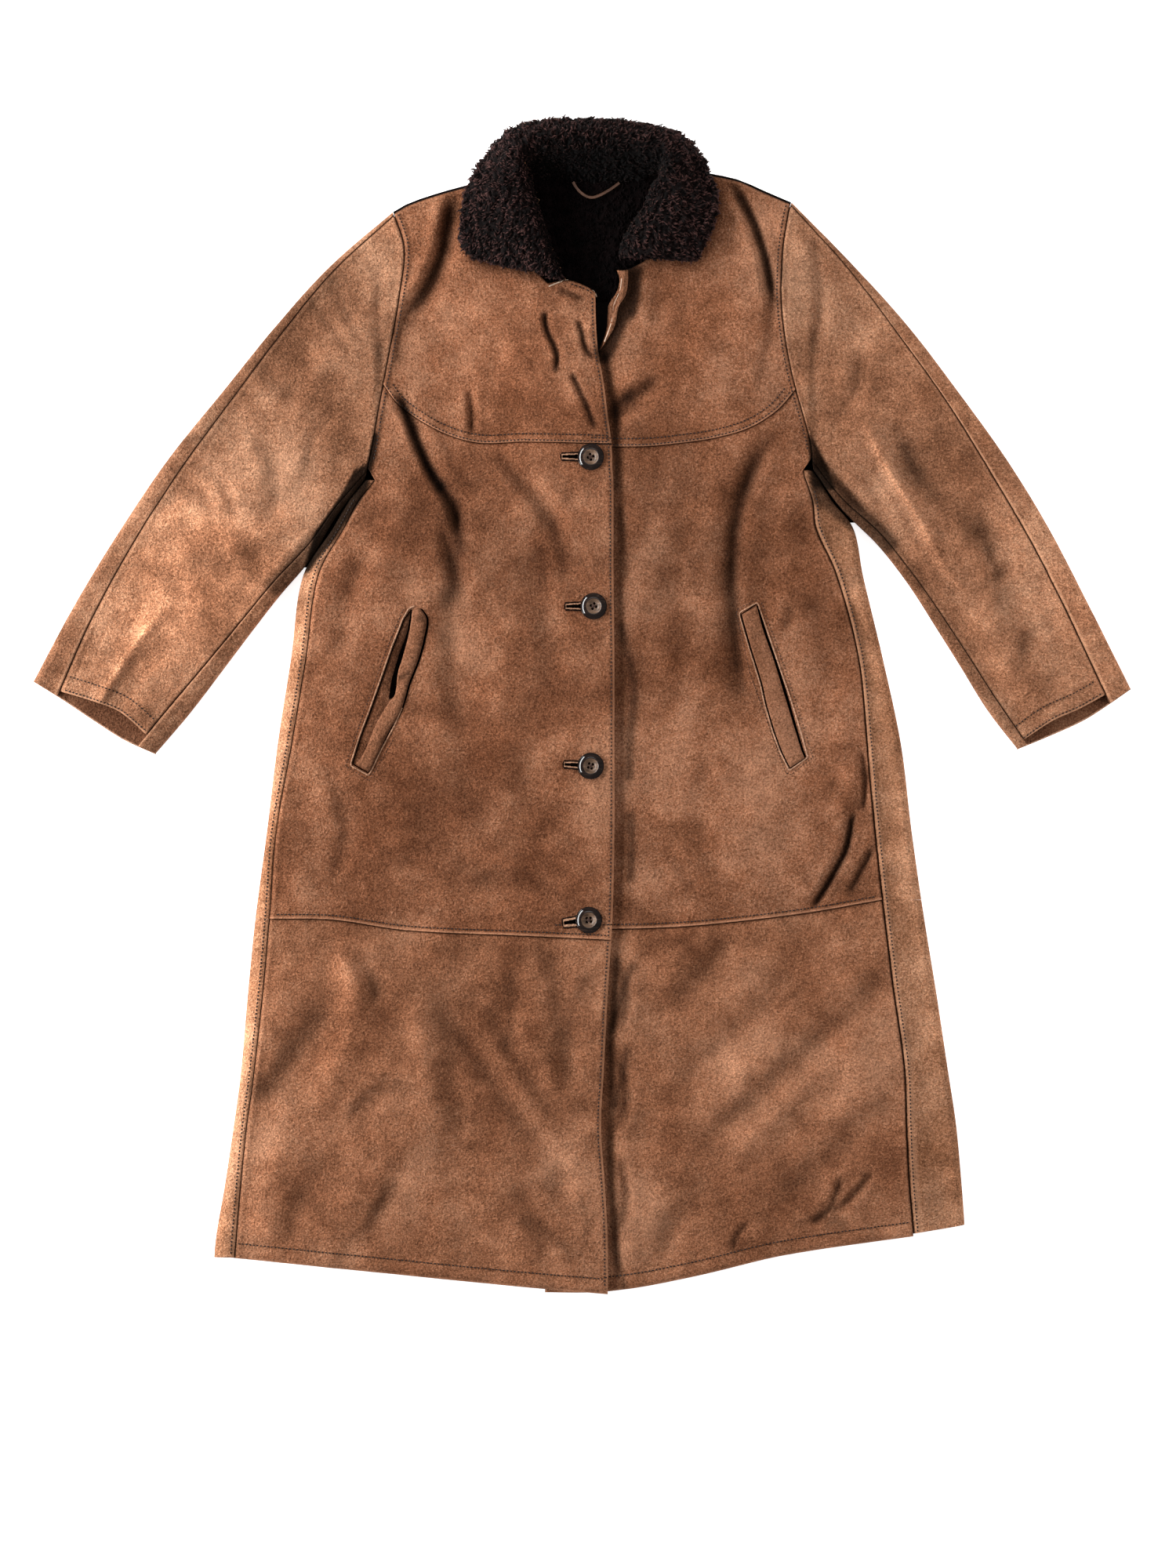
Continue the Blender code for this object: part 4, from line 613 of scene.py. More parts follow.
# ---- grids and shells -----------------------------------------------------------------------------
def spaced(length, pitch=PITCH, close=None):
    """Shares of a length: fine at both ends, and finer for CLOSE_REACH from one end where close names it."""
    lips = np.array([0, 0.35, 0.8, 1.4, 2.2, 3.3, 4.8, 6.6, 8.8])
    last = length - lips[-1]
    found = [lips[-1]]
    while found[-1] < last:
        reach = {None: length, 0: found[-1], 1: length - found[-1]}[close]
        found.append(found[-1] + (CLOSE_PITCH if reach < CLOSE_REACH else pitch))
    middle = np.array(found[:-1] if len(found) > 2 else found)
    middle = lips[-1] + (middle - lips[-1]) * (last - lips[-1]) / (middle[-1] - lips[-1])
    return np.concatenate([lips, middle[1:-1], length - lips[::-1]]) / length


def coons(left, right, low, high, us, vs):
    """Grid of plan points between four edge lines."""
    l, r, b, t = left.at(vs)[:, None], right.at(vs)[:, None], low.at(us)[None], high.at(us)[None]
    u, v = us[None, :, None], vs[:, None, None]
    corners = (b[:, :1] * (1 - u) + b[:, -1:] * u) * (1 - v) + (t[:, :1] * (1 - u) + t[:, -1:] * u) * v
    return l * (1 - u) + r * u + b * (1 - v) + t * v - corners


def rim_distances(grid):
    """Distances of each grid point from the left, right, low and high edges, along the grid."""
    across = np.linalg.norm(np.diff(grid, axis=1), axis=2)
    up = np.linalg.norm(np.diff(grid, axis=0), axis=2)
    left = np.pad(np.cumsum(across, axis=1), ((0, 0), (1, 0)))
    low = np.pad(np.cumsum(up, axis=0), ((1, 0), (0, 0)))
    return left, left[:, -1:] - left, low, low[-1:] - low


def rounded(d, radius, depth):
    """How far a rounded edge has dropped at a distance from it."""
    t = np.clip(1 - d / radius, 0, 1)
    return depth * (1 - np.sqrt(1 - t * t))


# change of height by the distance from each kind of edge
EDGE_SHAPES = {
    # a seam's own half of the groove with the lip that the turned-in allowance makes
    "seam": lambda d: -rounded(d, 1.8, 2.4) + 0.55 * np.exp(-((d - 4.2) / 2.2)**2)
            - 0.35 * np.exp(-((d - 9) / 2.5)**2),
    # the edge that lies over its neighbour, cut or folded, and the one beneath it
    "over": lambda d: 1.1 * np.exp(-(d / 7)**2) - rounded(d, 1.1, 1.0),
    "under": lambda d: -1.3 * np.exp(-(d / 6)**2) - rounded(d, 0.8, 0.6),
    # a finished edge, folded back on itself
    "free": lambda d: -rounded(d, 4.2, 4.4) + 0.5 * np.exp(-((d - 7) / 3.5)**2)
            - 0.5 * np.exp(-((d - 15) / 3)**2),
    "placket": lambda d: -rounded(d, 2.6, 3.2) + 0.4 * np.exp(-((d - 6) / 3)**2),
}


def closed(rows, columns, base, mask=None):
    """Faces of a shell between two grids of points, the lower one starting at base: top, bottom and rim."""
    j, i = np.nonzero(np.ones((rows - 1, columns - 1), bool) if mask is None else mask)
    a = j * columns + i
    top = np.stack([a, a + 1, a + columns + 1, a + columns], 1)
    pairs = np.vstack([top[:, (k, (k + 1) % 4)] for k in range(4)])
    many = base + 1
    rim = pairs[~np.isin(pairs[:, 1] * many + pairs[:, 0], pairs[:, 0] * many + pairs[:, 1])]
    sides = np.stack([rim[:, 1], rim[:, 0], rim[:, 0] + base, rim[:, 1] + base], 1)
    return top, top[:, ::-1] + base, sides


def mesh_piece(name, points, faces, materials, slots=None, smooth=40, marks=None, tones=None):
    """New object from points in mm, riding on the coat; points that no face uses are left out."""
    if isinstance(faces, np.ndarray):
        used, places = np.unique(faces, return_inverse=True)
        points, faces = points[used], places.reshape(faces.shape).tolist()
        marks, tones = (None if values is None else values[used] for values in (marks, tones))
    mesh = bpy.data.meshes.new(name)
    mesh.from_pydata(place(points).tolist(), [], faces)
    for material in materials:
        mesh.materials.append(material)
    if slots is not None:
        mesh.polygons.foreach_set("material_index", np.asarray(slots, dtype=np.int32))
    for attribute, values in (("edge", marks), ("tone", tones)):
        layer = mesh.attributes.new(attribute, "FLOAT", "POINT")
        if values is not None:
            layer.data.foreach_set("value", np.asarray(values, dtype=np.float32))
    mesh.validate()
    made = bpy.data.objects.new(name, mesh)
    bpy.context.collection.objects.link(made)
    mesh.shade_smooth()
    mesh.set_sharp_from_angle(angle=math.radians(smooth))
    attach(made, "root")
    return made


def cloth(node, outer, inner, skin, marks, faced, cut=None, keep=None):
    """A sheet of skin and wool between two grids of points (rows, columns, xyz) that stands for a node.

    faced says where the skin is turned in; cut, (width, length, area) in metres, is not used.
    """
    rows, columns = outer.shape[:2]
    base = rows * columns
    points = np.vstack([outer.reshape(-1, 3), inner.reshape(-1, 3)])
    top, bottom, sides = closed(rows, columns, base, keep)
    turned = faced[:-1, :-1] if keep is None else faced[:-1, :-1][keep]
    slots = np.repeat([0, 1, 0], [len(top), len(bottom), len(sides)])
    # the turned-in skin takes the darker copy of the suede, a painted shade
    slots[len(top):-len(sides)][turned.reshape(-1)] = 2
    relief = fold_relief(points[:, 0], points[:, 1])
    # painted shade in the folds' troughs and a painted highlight on their crests, added to tone()
    shade = (tone(points[:, 0], points[:, 1]) - HOLLOW_SHADE * np.maximum(-relief, 0)**1.5
             + 0.05 * np.clip(relief, 0, 5))
    shade[base:] = INSIDE_SHADE
    marks = np.concatenate([marks.reshape(-1), np.zeros(base)])
    made = mesh_piece(node + "_cloth", points, np.vstack([top, bottom, sides]), [skin, FLEECE, SHADE_SUEDE],
                      slots, smooth=62, marks=marks, tones=shade)
    bm = bmesh.new()
    bm.from_mesh(made.data)
    if bm.calc_volume(signed=True) < 0:
        bmesh.ops.reverse_faces(bm, faces=bm.faces)
        bm.to_mesh(made.data)
    bm.free()
    if cut is None:
        spots = points[np.unique(top)] * MM
        cut = (*(np.ptp(spots[:, k]) + SEAM_ALLOWANCE for k in (0, 1)), half_area(made))
    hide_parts(node)


def half_area(piece):
    """Area of one side of a thin piece, in square metres."""
    return sum(p.area for p in piece.data.polygons) / 2


# ---- materials ------------------------------------------------------------------------------------
class Nodes:
    """Short calls for building a material's nodes."""

    def __init__(self, name):
        self.material = bpy.data.materials.new(name)
        self.material.use_nodes = True
        self.tree = self.material.node_tree
        self.shader = self.tree.nodes["Principled BSDF"]
        self.place = self.add("ShaderNodeTexCoord").outputs["Object"]

    def add(self, kind, inputs=None, **values):
        """New node with its properties set, and its inputs linked or set by name or number."""
        node = self.tree.nodes.new(kind)
        for key, value in values.items():
            setattr(node, key, value)
        for key, value in (inputs or {}).items():
            if hasattr(value, "links"):
                self.tree.links.new(value, node.inputs[key])
            elif value is not None:
                node.inputs[key].default_value = value
        return node

    def noise(self, scale, detail=3.0, rough=0.5, stretch=None, distortion=0.0):
        vector = self.place
        if stretch:
            vector = self.add("ShaderNodeMapping", {"Vector": vector, "Rotation": (0, 0, stretch[2]),
                                                    "Scale": (stretch[0], stretch[1], 1)}).outputs["Vector"]
        return self.add("ShaderNodeTexNoise", {"Vector": vector, "Scale": scale, "Detail": detail,
                                               "Roughness": rough, "Distortion": distortion}).outputs["Fac"]

    def cells(self, scale):
        return self.add("ShaderNodeTexVoronoi", {"Vector": self.place, "Scale": scale,
                                                 "Randomness": 0.9}).outputs["Distance"]

    def ramp(self, value, *stops):
        node = self.add("ShaderNodeValToRGB", {"Fac": value})
        ramp = node.color_ramp
        for _ in range(len(stops) - 2):
            ramp.elements.new(0.5)
        for element, (position, colour) in zip(ramp.elements, stops):
            element.position = position
            element.color = (*colour, 1) if hasattr(colour, "__len__") else (colour,) * 3 + (1,)
        return node.outputs["Color"]

    def mix(self, kind, factor, a, b):
        b = (*b, 1) if isinstance(b, tuple) else b
        inputs = {0: factor, 6: a, 7: b}
        return self.add("ShaderNodeMix", inputs, data_type="RGBA", blend_type=kind).outputs[2]

    def math(self, operation, a, b):
        return self.add("ShaderNodeMath", {0: a, 1: b}, operation=operation).outputs[0]

    def blend(self, *parts):
        """Weighted sum of (value, weight) parts."""
        total = None
        for value, weight in parts:
            part = self.math("MULTIPLY", value, weight)
            total = part if total is None else self.math("ADD", total, part)
        return total

    def attribute(self, name):
        return self.add("ShaderNodeAttribute", attribute_name=name).outputs["Fac"]

    def toned(self, colour):
        """The colour made lighter or darker by the stops on the vertices: random tone, painted light and
        painted shade.
        """
        return self.mix("MULTIPLY", 1.0, colour, self.math("POWER", 2.0, self.attribute("tone")))

    def finish(self, colour, *layers, **values):
        """Link the colour, stack bump layers of (height, distance in metres, strength), set the rest."""
        self.tree.links.new(colour, self.shader.inputs["Base Color"])
        normal = None
        for height, depth, strength in layers:
            normal = self.add("ShaderNodeBump", {"Height": height, "Normal": normal, "Distance": depth,
                                                 "Strength": strength}).outputs["Normal"]
        if layers:
            self.tree.links.new(normal, self.shader.inputs["Normal"])
        for key, value in values.items():
            self.shader.inputs[key.replace("_", " ")].default_value = value
        return self.material


def scaled(colour, factor):
    """The colour made lighter or darker, each channel 1 at most."""
    return tuple(min(c * factor, 1) for c in colour)


def suede(name, dark, middle, light, wrinkle_turn=0.0, wrinkle=0.5):
    """Napped skin: slow clouds of tone, a pebbled grain, wrinkles, a painted highlight on seam lips and
    painted shade in their grooves.
    """
    n = Nodes(name)
    clouds = n.noise(7, 2, 0.5)
    patches = n.noise(30, 3, 0.55, distortion=0.2)
    grain = n.noise(620, 3, 0.7)
    pebble = n.noise(330, 2, 0.6)
    pebbles = n.ramp(n.cells(410), (0.12, 1.15), (0.42, 1.0), (0.72, 0.58))
    value = n.blend((clouds, 0.30), (patches, 0.20), (grain, 0.34), (pebble, 0.16))
    colour = n.ramp(value, (0.41, dark), (0.50, middle), (0.59, light))
    speckle = n.ramp(n.noise(800, 2, 0.6), (0.33, 0.72), (0.52, 1.0), (0.70, 1.3))
    colour = n.mix("MULTIPLY", 0.85, colour, speckle)
    colour = n.mix("MULTIPLY", 0.6, colour, pebbles)
    edge = n.attribute("edge")
    for weight, end in ((0.75, scaled(light, 1.25)), (-0.92, scaled(dark, 0.12))):      # painted highlight on the lip, then painted shade in the groove
        colour = n.mix("MIX", n.math("MAXIMUM", n.math("MULTIPLY", edge, weight), 0.0), colour, end)
    creases = n.ramp(n.noise(70, 3, 0.6, stretch=(1.0, 3.0, wrinkle_turn), distortion=0.9),
                     (0.38, 0.0), (0.50, 1.0), (0.62, 0.4))
    return n.finish(n.toned(colour), (patches, 0.0030, 0.4), (creases, 0.0010, wrinkle),
                    (pebble, 0.0026, 0.7), (pebbles, 0.0012, 0.6), (grain, 0.0018, 0.9),
                    Roughness=0.95, Sheen_Weight=0.04,
                    Sheen_Roughness=0.5, Sheen_Tint=(0.9, 0.62, 0.42, 1), Specular_IOR_Level=0.05)


def fleece(name, dark, light, lit_tips=False, gloss=0.15):
    """Clumped wool; a lock's tips are paler, a painted highlight where light catches them."""
    n = Nodes(name)
    clumps, fibres = n.noise(130, 3, 0.6), n.noise(700, 3, 0.7)
    colour = n.ramp(n.blend((clumps, 0.5), (fibres, 0.5)), (0.42, dark), (0.58, light))
    if lit_tips:
        reach = n.math("POWER", n.attribute("edge"), 2.0)
        colour = n.mix("MIX", n.math("MULTIPLY", reach, 0.9), colour, scaled(light, 12))
        colour = n.mix("MULTIPLY", 1.0, colour, n.ramp(clumps, (0.38, 0.2), (0.62, 1.7)))
    return n.finish(n.toned(colour), (clumps, 0.0040, 0.8), (fibres, 0.0012, 0.8), Roughness=0.85,
                    Sheen_Weight=gloss * 0.3, Sheen_Roughness=0.4, Sheen_Tint=(0.5, 0.34, 0.3, 1),
                    Specular_IOR_Level=gloss)


def horn(name):
    """Polished dark horn, matt and browner in the turned dish."""
    n = Nodes(name)
    streaks = n.noise(90, 5, 0.65, stretch=(1.0, 5.0, 0.6), distortion=0.8)
    dish = n.attribute("edge")
    polished = n.ramp(streaks, (0.35, (0.006, 0.0035, 0.003)), (0.55, (0.016, 0.009, 0.007)),
                      (0.72, (0.05, 0.028, 0.02)))
    matt = n.ramp(streaks, (0.32, (0.06, 0.034, 0.02)), (0.55, (0.16, 0.095, 0.06)),
                  (0.72, (0.30, 0.19, 0.125)))
    smudges = n.ramp(n.noise(600, 2), (0.3, 0.05), (0.7, 0.10))
    n.tree.links.new(n.math("ADD", n.math("MULTIPLY", dish, 0.32), smudges), n.shader.inputs["Roughness"])
    return n.finish(n.mix("MIX", dish, polished, matt), (n.noise(420, 3), 0.00008, 0.3))


def leather(name, colour):
    """Smooth leather with a fine grain."""
    n = Nodes(name)
    shade = n.ramp(n.noise(120, 3), (0.35, scaled(colour, 0.75)), (0.65, scaled(colour, 1.25)))
    return n.finish(shade, (n.noise(700, 4, 0.6), 0.0004, 0.5), Roughness=0.5)


def thread(name, colour):
    """Twisted sewing thread."""
    n = Nodes(name)
    twist = n.noise(1800, 2, 0.5, stretch=(1, 4, 0.8))
    shade = n.ramp(twist, (0.35, scaled(colour, 0.6)), (0.65, scaled(colour, 1.3)))
    return n.finish(shade, (twist, 0.0002, 0.6), Roughness=0.75)


RIGHT_SUEDE = suede("suede_front", (0.134, 0.046, 0.020), (0.282, 0.109, 0.053), (0.48, 0.224, 0.124))
LEFT_SUEDE = suede("suede_front_left", (0.130, 0.045, 0.019), (0.270, 0.106, 0.052), (0.46, 0.217, 0.122))
SKIRT_SUEDE = suede("suede_skirt", (0.158, 0.057, 0.026), (0.318, 0.130, 0.065), (0.50, 0.238, 0.133))
# lighter than the fronts' suede: painted light, for the lamps catching the sleeves more
LIT_SLEEVE_SUEDE = suede("suede_sleeve", (0.185, 0.073, 0.035), (0.385, 0.169, 0.088), (0.60, 0.310, 0.180),
                     wrinkle_turn=0.9, wrinkle=0.7)
# lighter than the fronts' suede: painted light, for the lamps catching the side strips more
LIT_BACK_SUEDE = suede("suede_back", (0.172, 0.069, 0.032), (0.350, 0.157, 0.081), (0.56, 0.290, 0.168))
# a darker copy of the suede for the turned-in facings, painted shade
SHADE_SUEDE = suede("suede_facing_shaded", (0.110, 0.042, 0.020), (0.235, 0.094, 0.048), (0.38, 0.175, 0.095),
                    wrinkle=0.2)
PALE_SUEDE = suede("suede_trim", (0.16, 0.064, 0.031), (0.255, 0.107, 0.055), (0.36, 0.165, 0.092),
                   wrinkle=0.2)
DARK_EDGE = suede("suede_shadow", (0.006, 0.003, 0.002), (0.014, 0.006, 0.004), (0.026, 0.011, 0.006))
# a lighter copy of the suede for raised lips and edges, a painted highlight
LIT_LIP_SUEDE = suede("suede_lip_lit", (0.34, 0.17, 0.10), (0.52, 0.28, 0.17), (0.66, 0.38, 0.25), wrinkle=0.2)
FLEECE = fleece("fleece", (0.0008, 0.0003, 0.0003), (0.0066, 0.0029, 0.0026))
LOCK_FLEECE = fleece("fleece_locks", (0.0008, 0.0003, 0.0003), (0.0072, 0.0032, 0.0028), lit_tips=True)
# a darker copy of the wool for the neck's inside, painted shade
SHADED_NECK_FLEECE = fleece("fleece_inside_shaded", (0.0006, 0.0003, 0.0003), (0.0042, 0.0019, 0.0019), gloss=0.05)
# near-black for slits, holes, gaps and the underarm fold: painted shadow
SHADOW_BLACK = fleece("slit_dark", (0.0006, 0.0003, 0.0003), (0.0018, 0.0010, 0.0008), gloss=0.0)
HORN = horn("horn")
LOOP_LEATHER = leather("loop_leather", (0.085, 0.038, 0.021))
# dark brown thread, darkened further as painted shade for the stitch holes
THREAD = thread("thread", (0.016, 0.007, 0.004))
BUTTON_THREAD = thread("thread_button", (0.06, 0.025, 0.018))
CREAM = leather("cream_edge", (0.62, 0.45, 0.33))


# ---- panels ---------------------------------------------------------------------------------------
# how strongly an edge gets a painted highlight and painted shade, and how far in the lit lip lies
EDGE_MARKS = {"seam": (0.22, 1.0, 2.6), "over": (1.0, 0.0, 1.0), "under": (0.0, 1.0, 2.0),
              "free": (0.6, 0.0, 0.8), "placket": (0.9, 0.0, 1.0)}


def panel(node, edges, kinds, upper, floor, material, rows=PITCH, close=None):
    """One laid panel between its left, right, low and high edge lines, with each edge's own shape."""
    left, right, low, high = edges
    us = spaced((low.length + high.length) / 2, PITCH, close)
    vs = spaced((left.length + right.length) / 2, rows)
    grid = coons(*edges, us, vs)
    for rim, inside in (((slice(None), 0), (slice(None), 1)), ((slice(None), -1), (slice(None), -2)),
                        ((0,), (1,)), ((-1,), (-2,))):
        run = grid[inside] - grid[rim]
        grid[rim] += GAP * run / np.maximum(np.linalg.norm(run, axis=-1, keepdims=True), 1e-6)
    x, y = grid[..., 0], grid[..., 1]
    z = upper(x, y)
    mark = np.zeros(x.shape)
    # distance from any finished edge, and from a hem or cuff
    turned, open_end = np.full((2, *x.shape), FAR)
    for kind, d in zip(kinds, rim_distances(grid)):
        z = z + EDGE_SHAPES[kind](d)
        lit, dark, inward = EDGE_MARKS[kind]
        mark += lit * np.exp(-((d - inward) / 1.1)**2) - dark * np.exp(-(d / 0.9)**2)
        if kind in ("free", "placket"):
            turned = np.minimum(turned, d)
        if kind == "free":
            open_end = np.minimum(open_end, d)
    wall = FRONT_WALL - (FRONT_WALL - TURNED_WALL) * (1 - ease(open_end / 34))
    lower = np.maximum(floor(x, y), z - wall)
    z = np.maximum(z, lower + 1.2)
    cloth(node, np.dstack([x, y, z]), np.dstack([x, y, lower]), material, np.clip(mark, -1, 1),
          turned < FACING)


def flat_floor(x, y):
    """Lowest level of the upper layer."""
    return np.full(x.shape, FLOOR)


def over_floor(x, y):
    """The same, raised where the right front lies over the left one."""
    covers = (x > UNDER_EDGE.x_at(y) - PLACKET_MARGIN - 1) & (y < 380)
    near = x > OVER_EDGE.x_at(y) - 12
    return np.where(covers | near, UNDERLAP_LEVEL + 0.6, FLOOR)


def fronts(side):
    """Skirt, front and yoke of one side; the wearer's right one lies on the left, at negative x."""
    hem, skirt, yoke = (Line(table[side]) for table in (HEM, SKIRT_SEAM, YOKE_SEAM))
    is_right = side == "right"
    outer, inner = (0, -1) if is_right else (-1, 0)
    edge = OVER_EDGE if is_right else UNDER_EDGE
    upper, floor = (over_level, over_floor) if is_right else (under_level, flat_floor)

    def run(line, low, high, at):
        return Line(line.climb(low.p[at][1], high.p[at][1]), straight=True)

    shoulder = Line(np.array(SHOULDER[side]) - (0, SHOULDER_INSET)).p
    if is_right:
        neck = joined(shoulder, Line(NECKLINE[side]).p[1:], Line(RIGHT_NECK_EDGE).p)
    else:
        neck = joined([(41, 456), (49, 458)], Line(NECKLINE[side]).p[:-1], shoulder)
    shoulder_end = SHOULDER_TOP[side] - SHOULDER_INSET
    outers = [run(SEAM[side], hem, skirt, outer),
              joined(SEAM[side].climb(skirt.p[outer][1], UNDERARM[side]),
                     SIDE[side].climb(UNDERARM[side] + UNDERARM_TURN, YOKE_AT_ARMHOLE[side])),
              Line(SIDE[side].climb(YOKE_AT_ARMHOLE[side], shoulder_end), straight=True)]
    rows = [("skirt_front_", hem, skirt, "free", "under"), ("front_", skirt, yoke, "over", "under"),
            ("yoke_", yoke, neck, "over", "seam")]
    for (name, low, high, *kinds), out in zip(rows, outers):
        sides = [("seam", out), ("placket", run(edge, low, high, inner))][::1 if is_right else -1]
        suited = SKIRT_SUEDE if name == "skirt_front_" else RIGHT_SUEDE if is_right else LEFT_SUEDE
        panel(name + side, [line for _, line in sides] + [low, high], [kind for kind, _ in sides] + kinds,
              upper, floor, suited, rows=YOKE_PITCH if name == "yoke_" else PITCH, close=1 if is_right else 0)


# ---- side folds, back and sleeves -------------------------------------------------------------------
FOLD_STEPS = 14
HEM_SLANT = 9.0        # the left side's hem climbs this much from its seam out to the fold
STRIP_LIPS = np.array([0.3, 0.55, 0.74, 0.86, 0.94, 1.0])
# painted shade at a strip's seam, then a painted highlight on its lip, column by column; SLEEVE_LIP
# strengthens it on the sleeves
STRIP_MARKS = np.array([-1.0, 0.45, 0.5, 0.0])
SLEEVE_LIP = np.array([1.0, 1.4, 1.4, 1.0])
UNDER_SLEEVE_CUT = (0.30, 0.60, 0.115)


def fold_sheets(spot, strip, radius):
    """Outer and inner points of a fold per row: (rows, steps, 3), foot first.

    spot(reach) gives plan points for an array of reaches, one per row.
    """
    crown = level(*spot(radius).T)
    slit = np.maximum(FLOOR, crown - FRONT_WALL)
    inside_foot = np.minimum(FOLD_WALL, radius * 0.86)
    outer, inner = [], []
    for turn in np.linspace(-math.pi / 2, math.pi / 2, FOLD_STEPS + 1):
        swing = 1 - math.cos(turn)
        share = (1 + math.sin(turn)) / 2
        outer.append(np.column_stack([spot(radius * swing), crown * share]))
        inner.append(np.column_stack([spot(inside_foot + (radius - inside_foot) * swing),
                                      BACK_WALL + (slit - BACK_WALL) * share]))
    width = np.maximum(strip - radius, 0.8)
    for share in STRIP_LIPS:
        place_here = spot(radius + width * share)
        top = level(*place_here.T) + EDGE_SHAPES["seam"](width * (1 - share))
        outer.append(np.column_stack([place_here, top]))
        inner.append(np.column_stack([place_here, np.maximum(FLOOR, top - FRONT_WALL)]))
    return np.stack(outer, 1), np.stack(inner, 1)


def back_piece(node, levels, cut_rows, low, high, cut):
    """A back piece with its wrapped sides; levels are rows of (right y, left y).

    The last cut_rows of them have no strips; cut, (width, length, area) in metres, is not used.
    """
    first_cut = len(levels) - cut_rows
    folded = np.arange(len(levels)) < first_cut
    sheets, feet = [], []
    for side, towards, y in zip(("right", "left"), (1, -1), levels.T):
        x = SIDE[side].x_at(y) + towards * GAP
        strip = np.maximum(np.abs(SEAM[side].x_at(y) - x) - GAP, FOLD_RADIUS + 1)
        slant = HEM_SLANT if side == "left" and node == "back_skirt" else 0.0
        fade = slant * (1 - ease((y - y[0]) / 110))

        def spot(reach, x=x, y=y, towards=towards, fade=fade):
            return np.column_stack([x + towards * reach, y + fade * (1 - reach / 54.0)])

        sheets.append(fold_sheets(spot, strip, np.full(len(y), FOLD_RADIUS)))
        feet.append(Line(spot(np.where(folded, FOLD_RADIUS, 0.0)), straight=True))
    vs = np.concatenate([[0], np.cumsum(np.linalg.norm(np.diff(feet[0].p, axis=0), axis=1))])
    flat = coons(*feet, low, high, np.linspace(0, 1, 29), vs / vs[-1])
    flat[:, 0], flat[:, -1] = feet[0].p, feet[1].p
    built = []
    for right, left, z in zip(*sheets, (0.0, BACK_WALL)):
        middle = np.dstack([flat, np.full(flat.shape[:2], z)])
        built.append(np.concatenate([right[:, :0:-1], middle, left[:, 1:]], 1))
    rows, columns = built[0].shape[:2]
    mark, faced = np.zeros((rows, columns)), np.zeros((rows, columns), bool)
    mark[:, :4], mark[:, -4:] = STRIP_MARKS, STRIP_MARKS[::-1]
    keep = np.zeros((rows - 1, columns - 1), bool)
    keep[:first_cut - 1] = True
    side_cells = FOLD_STEPS + len(STRIP_LIPS)
    keep[:, side_cells:-side_cells] = True
    if node == "back_skirt":
        faced[:int(FACING / PITCH) + 1] = True
    cloth(node, *built, LIT_BACK_SUEDE, mark, faced, cut, keep)


def backs():
    """The back and its skirt, which meet GAP short of their seam."""
    seam = Line(BACK_SKIRT_SEAM)
    low = np.column_stack([np.linspace(-576, -222 - GAP, 70), np.linspace(-551, -202 - GAP, 70)])
    back_piece("back_skirt", low, 0, Line(BACK_HEM), Line(seam.p - (0, GAP)), (0.86, 0.41, 0.325))
    below = np.column_stack([np.linspace(-222 + GAP, 237, 90), np.linspace(-202 + GAP, 247, 90)])
    above = np.column_stack([np.linspace(250, 518, 56), np.linspace(260, 528, 56)])
    top = joined(Line(SHOULDER["right"]).p, Line(BACK_NECKLINE).p, Line(SHOULDER["left"]).p)
    back_piece("back", np.vstack([below, above]), len(above), Line(seam.p + (0, GAP)), top,
               (0.76, 0.82, 0.47))


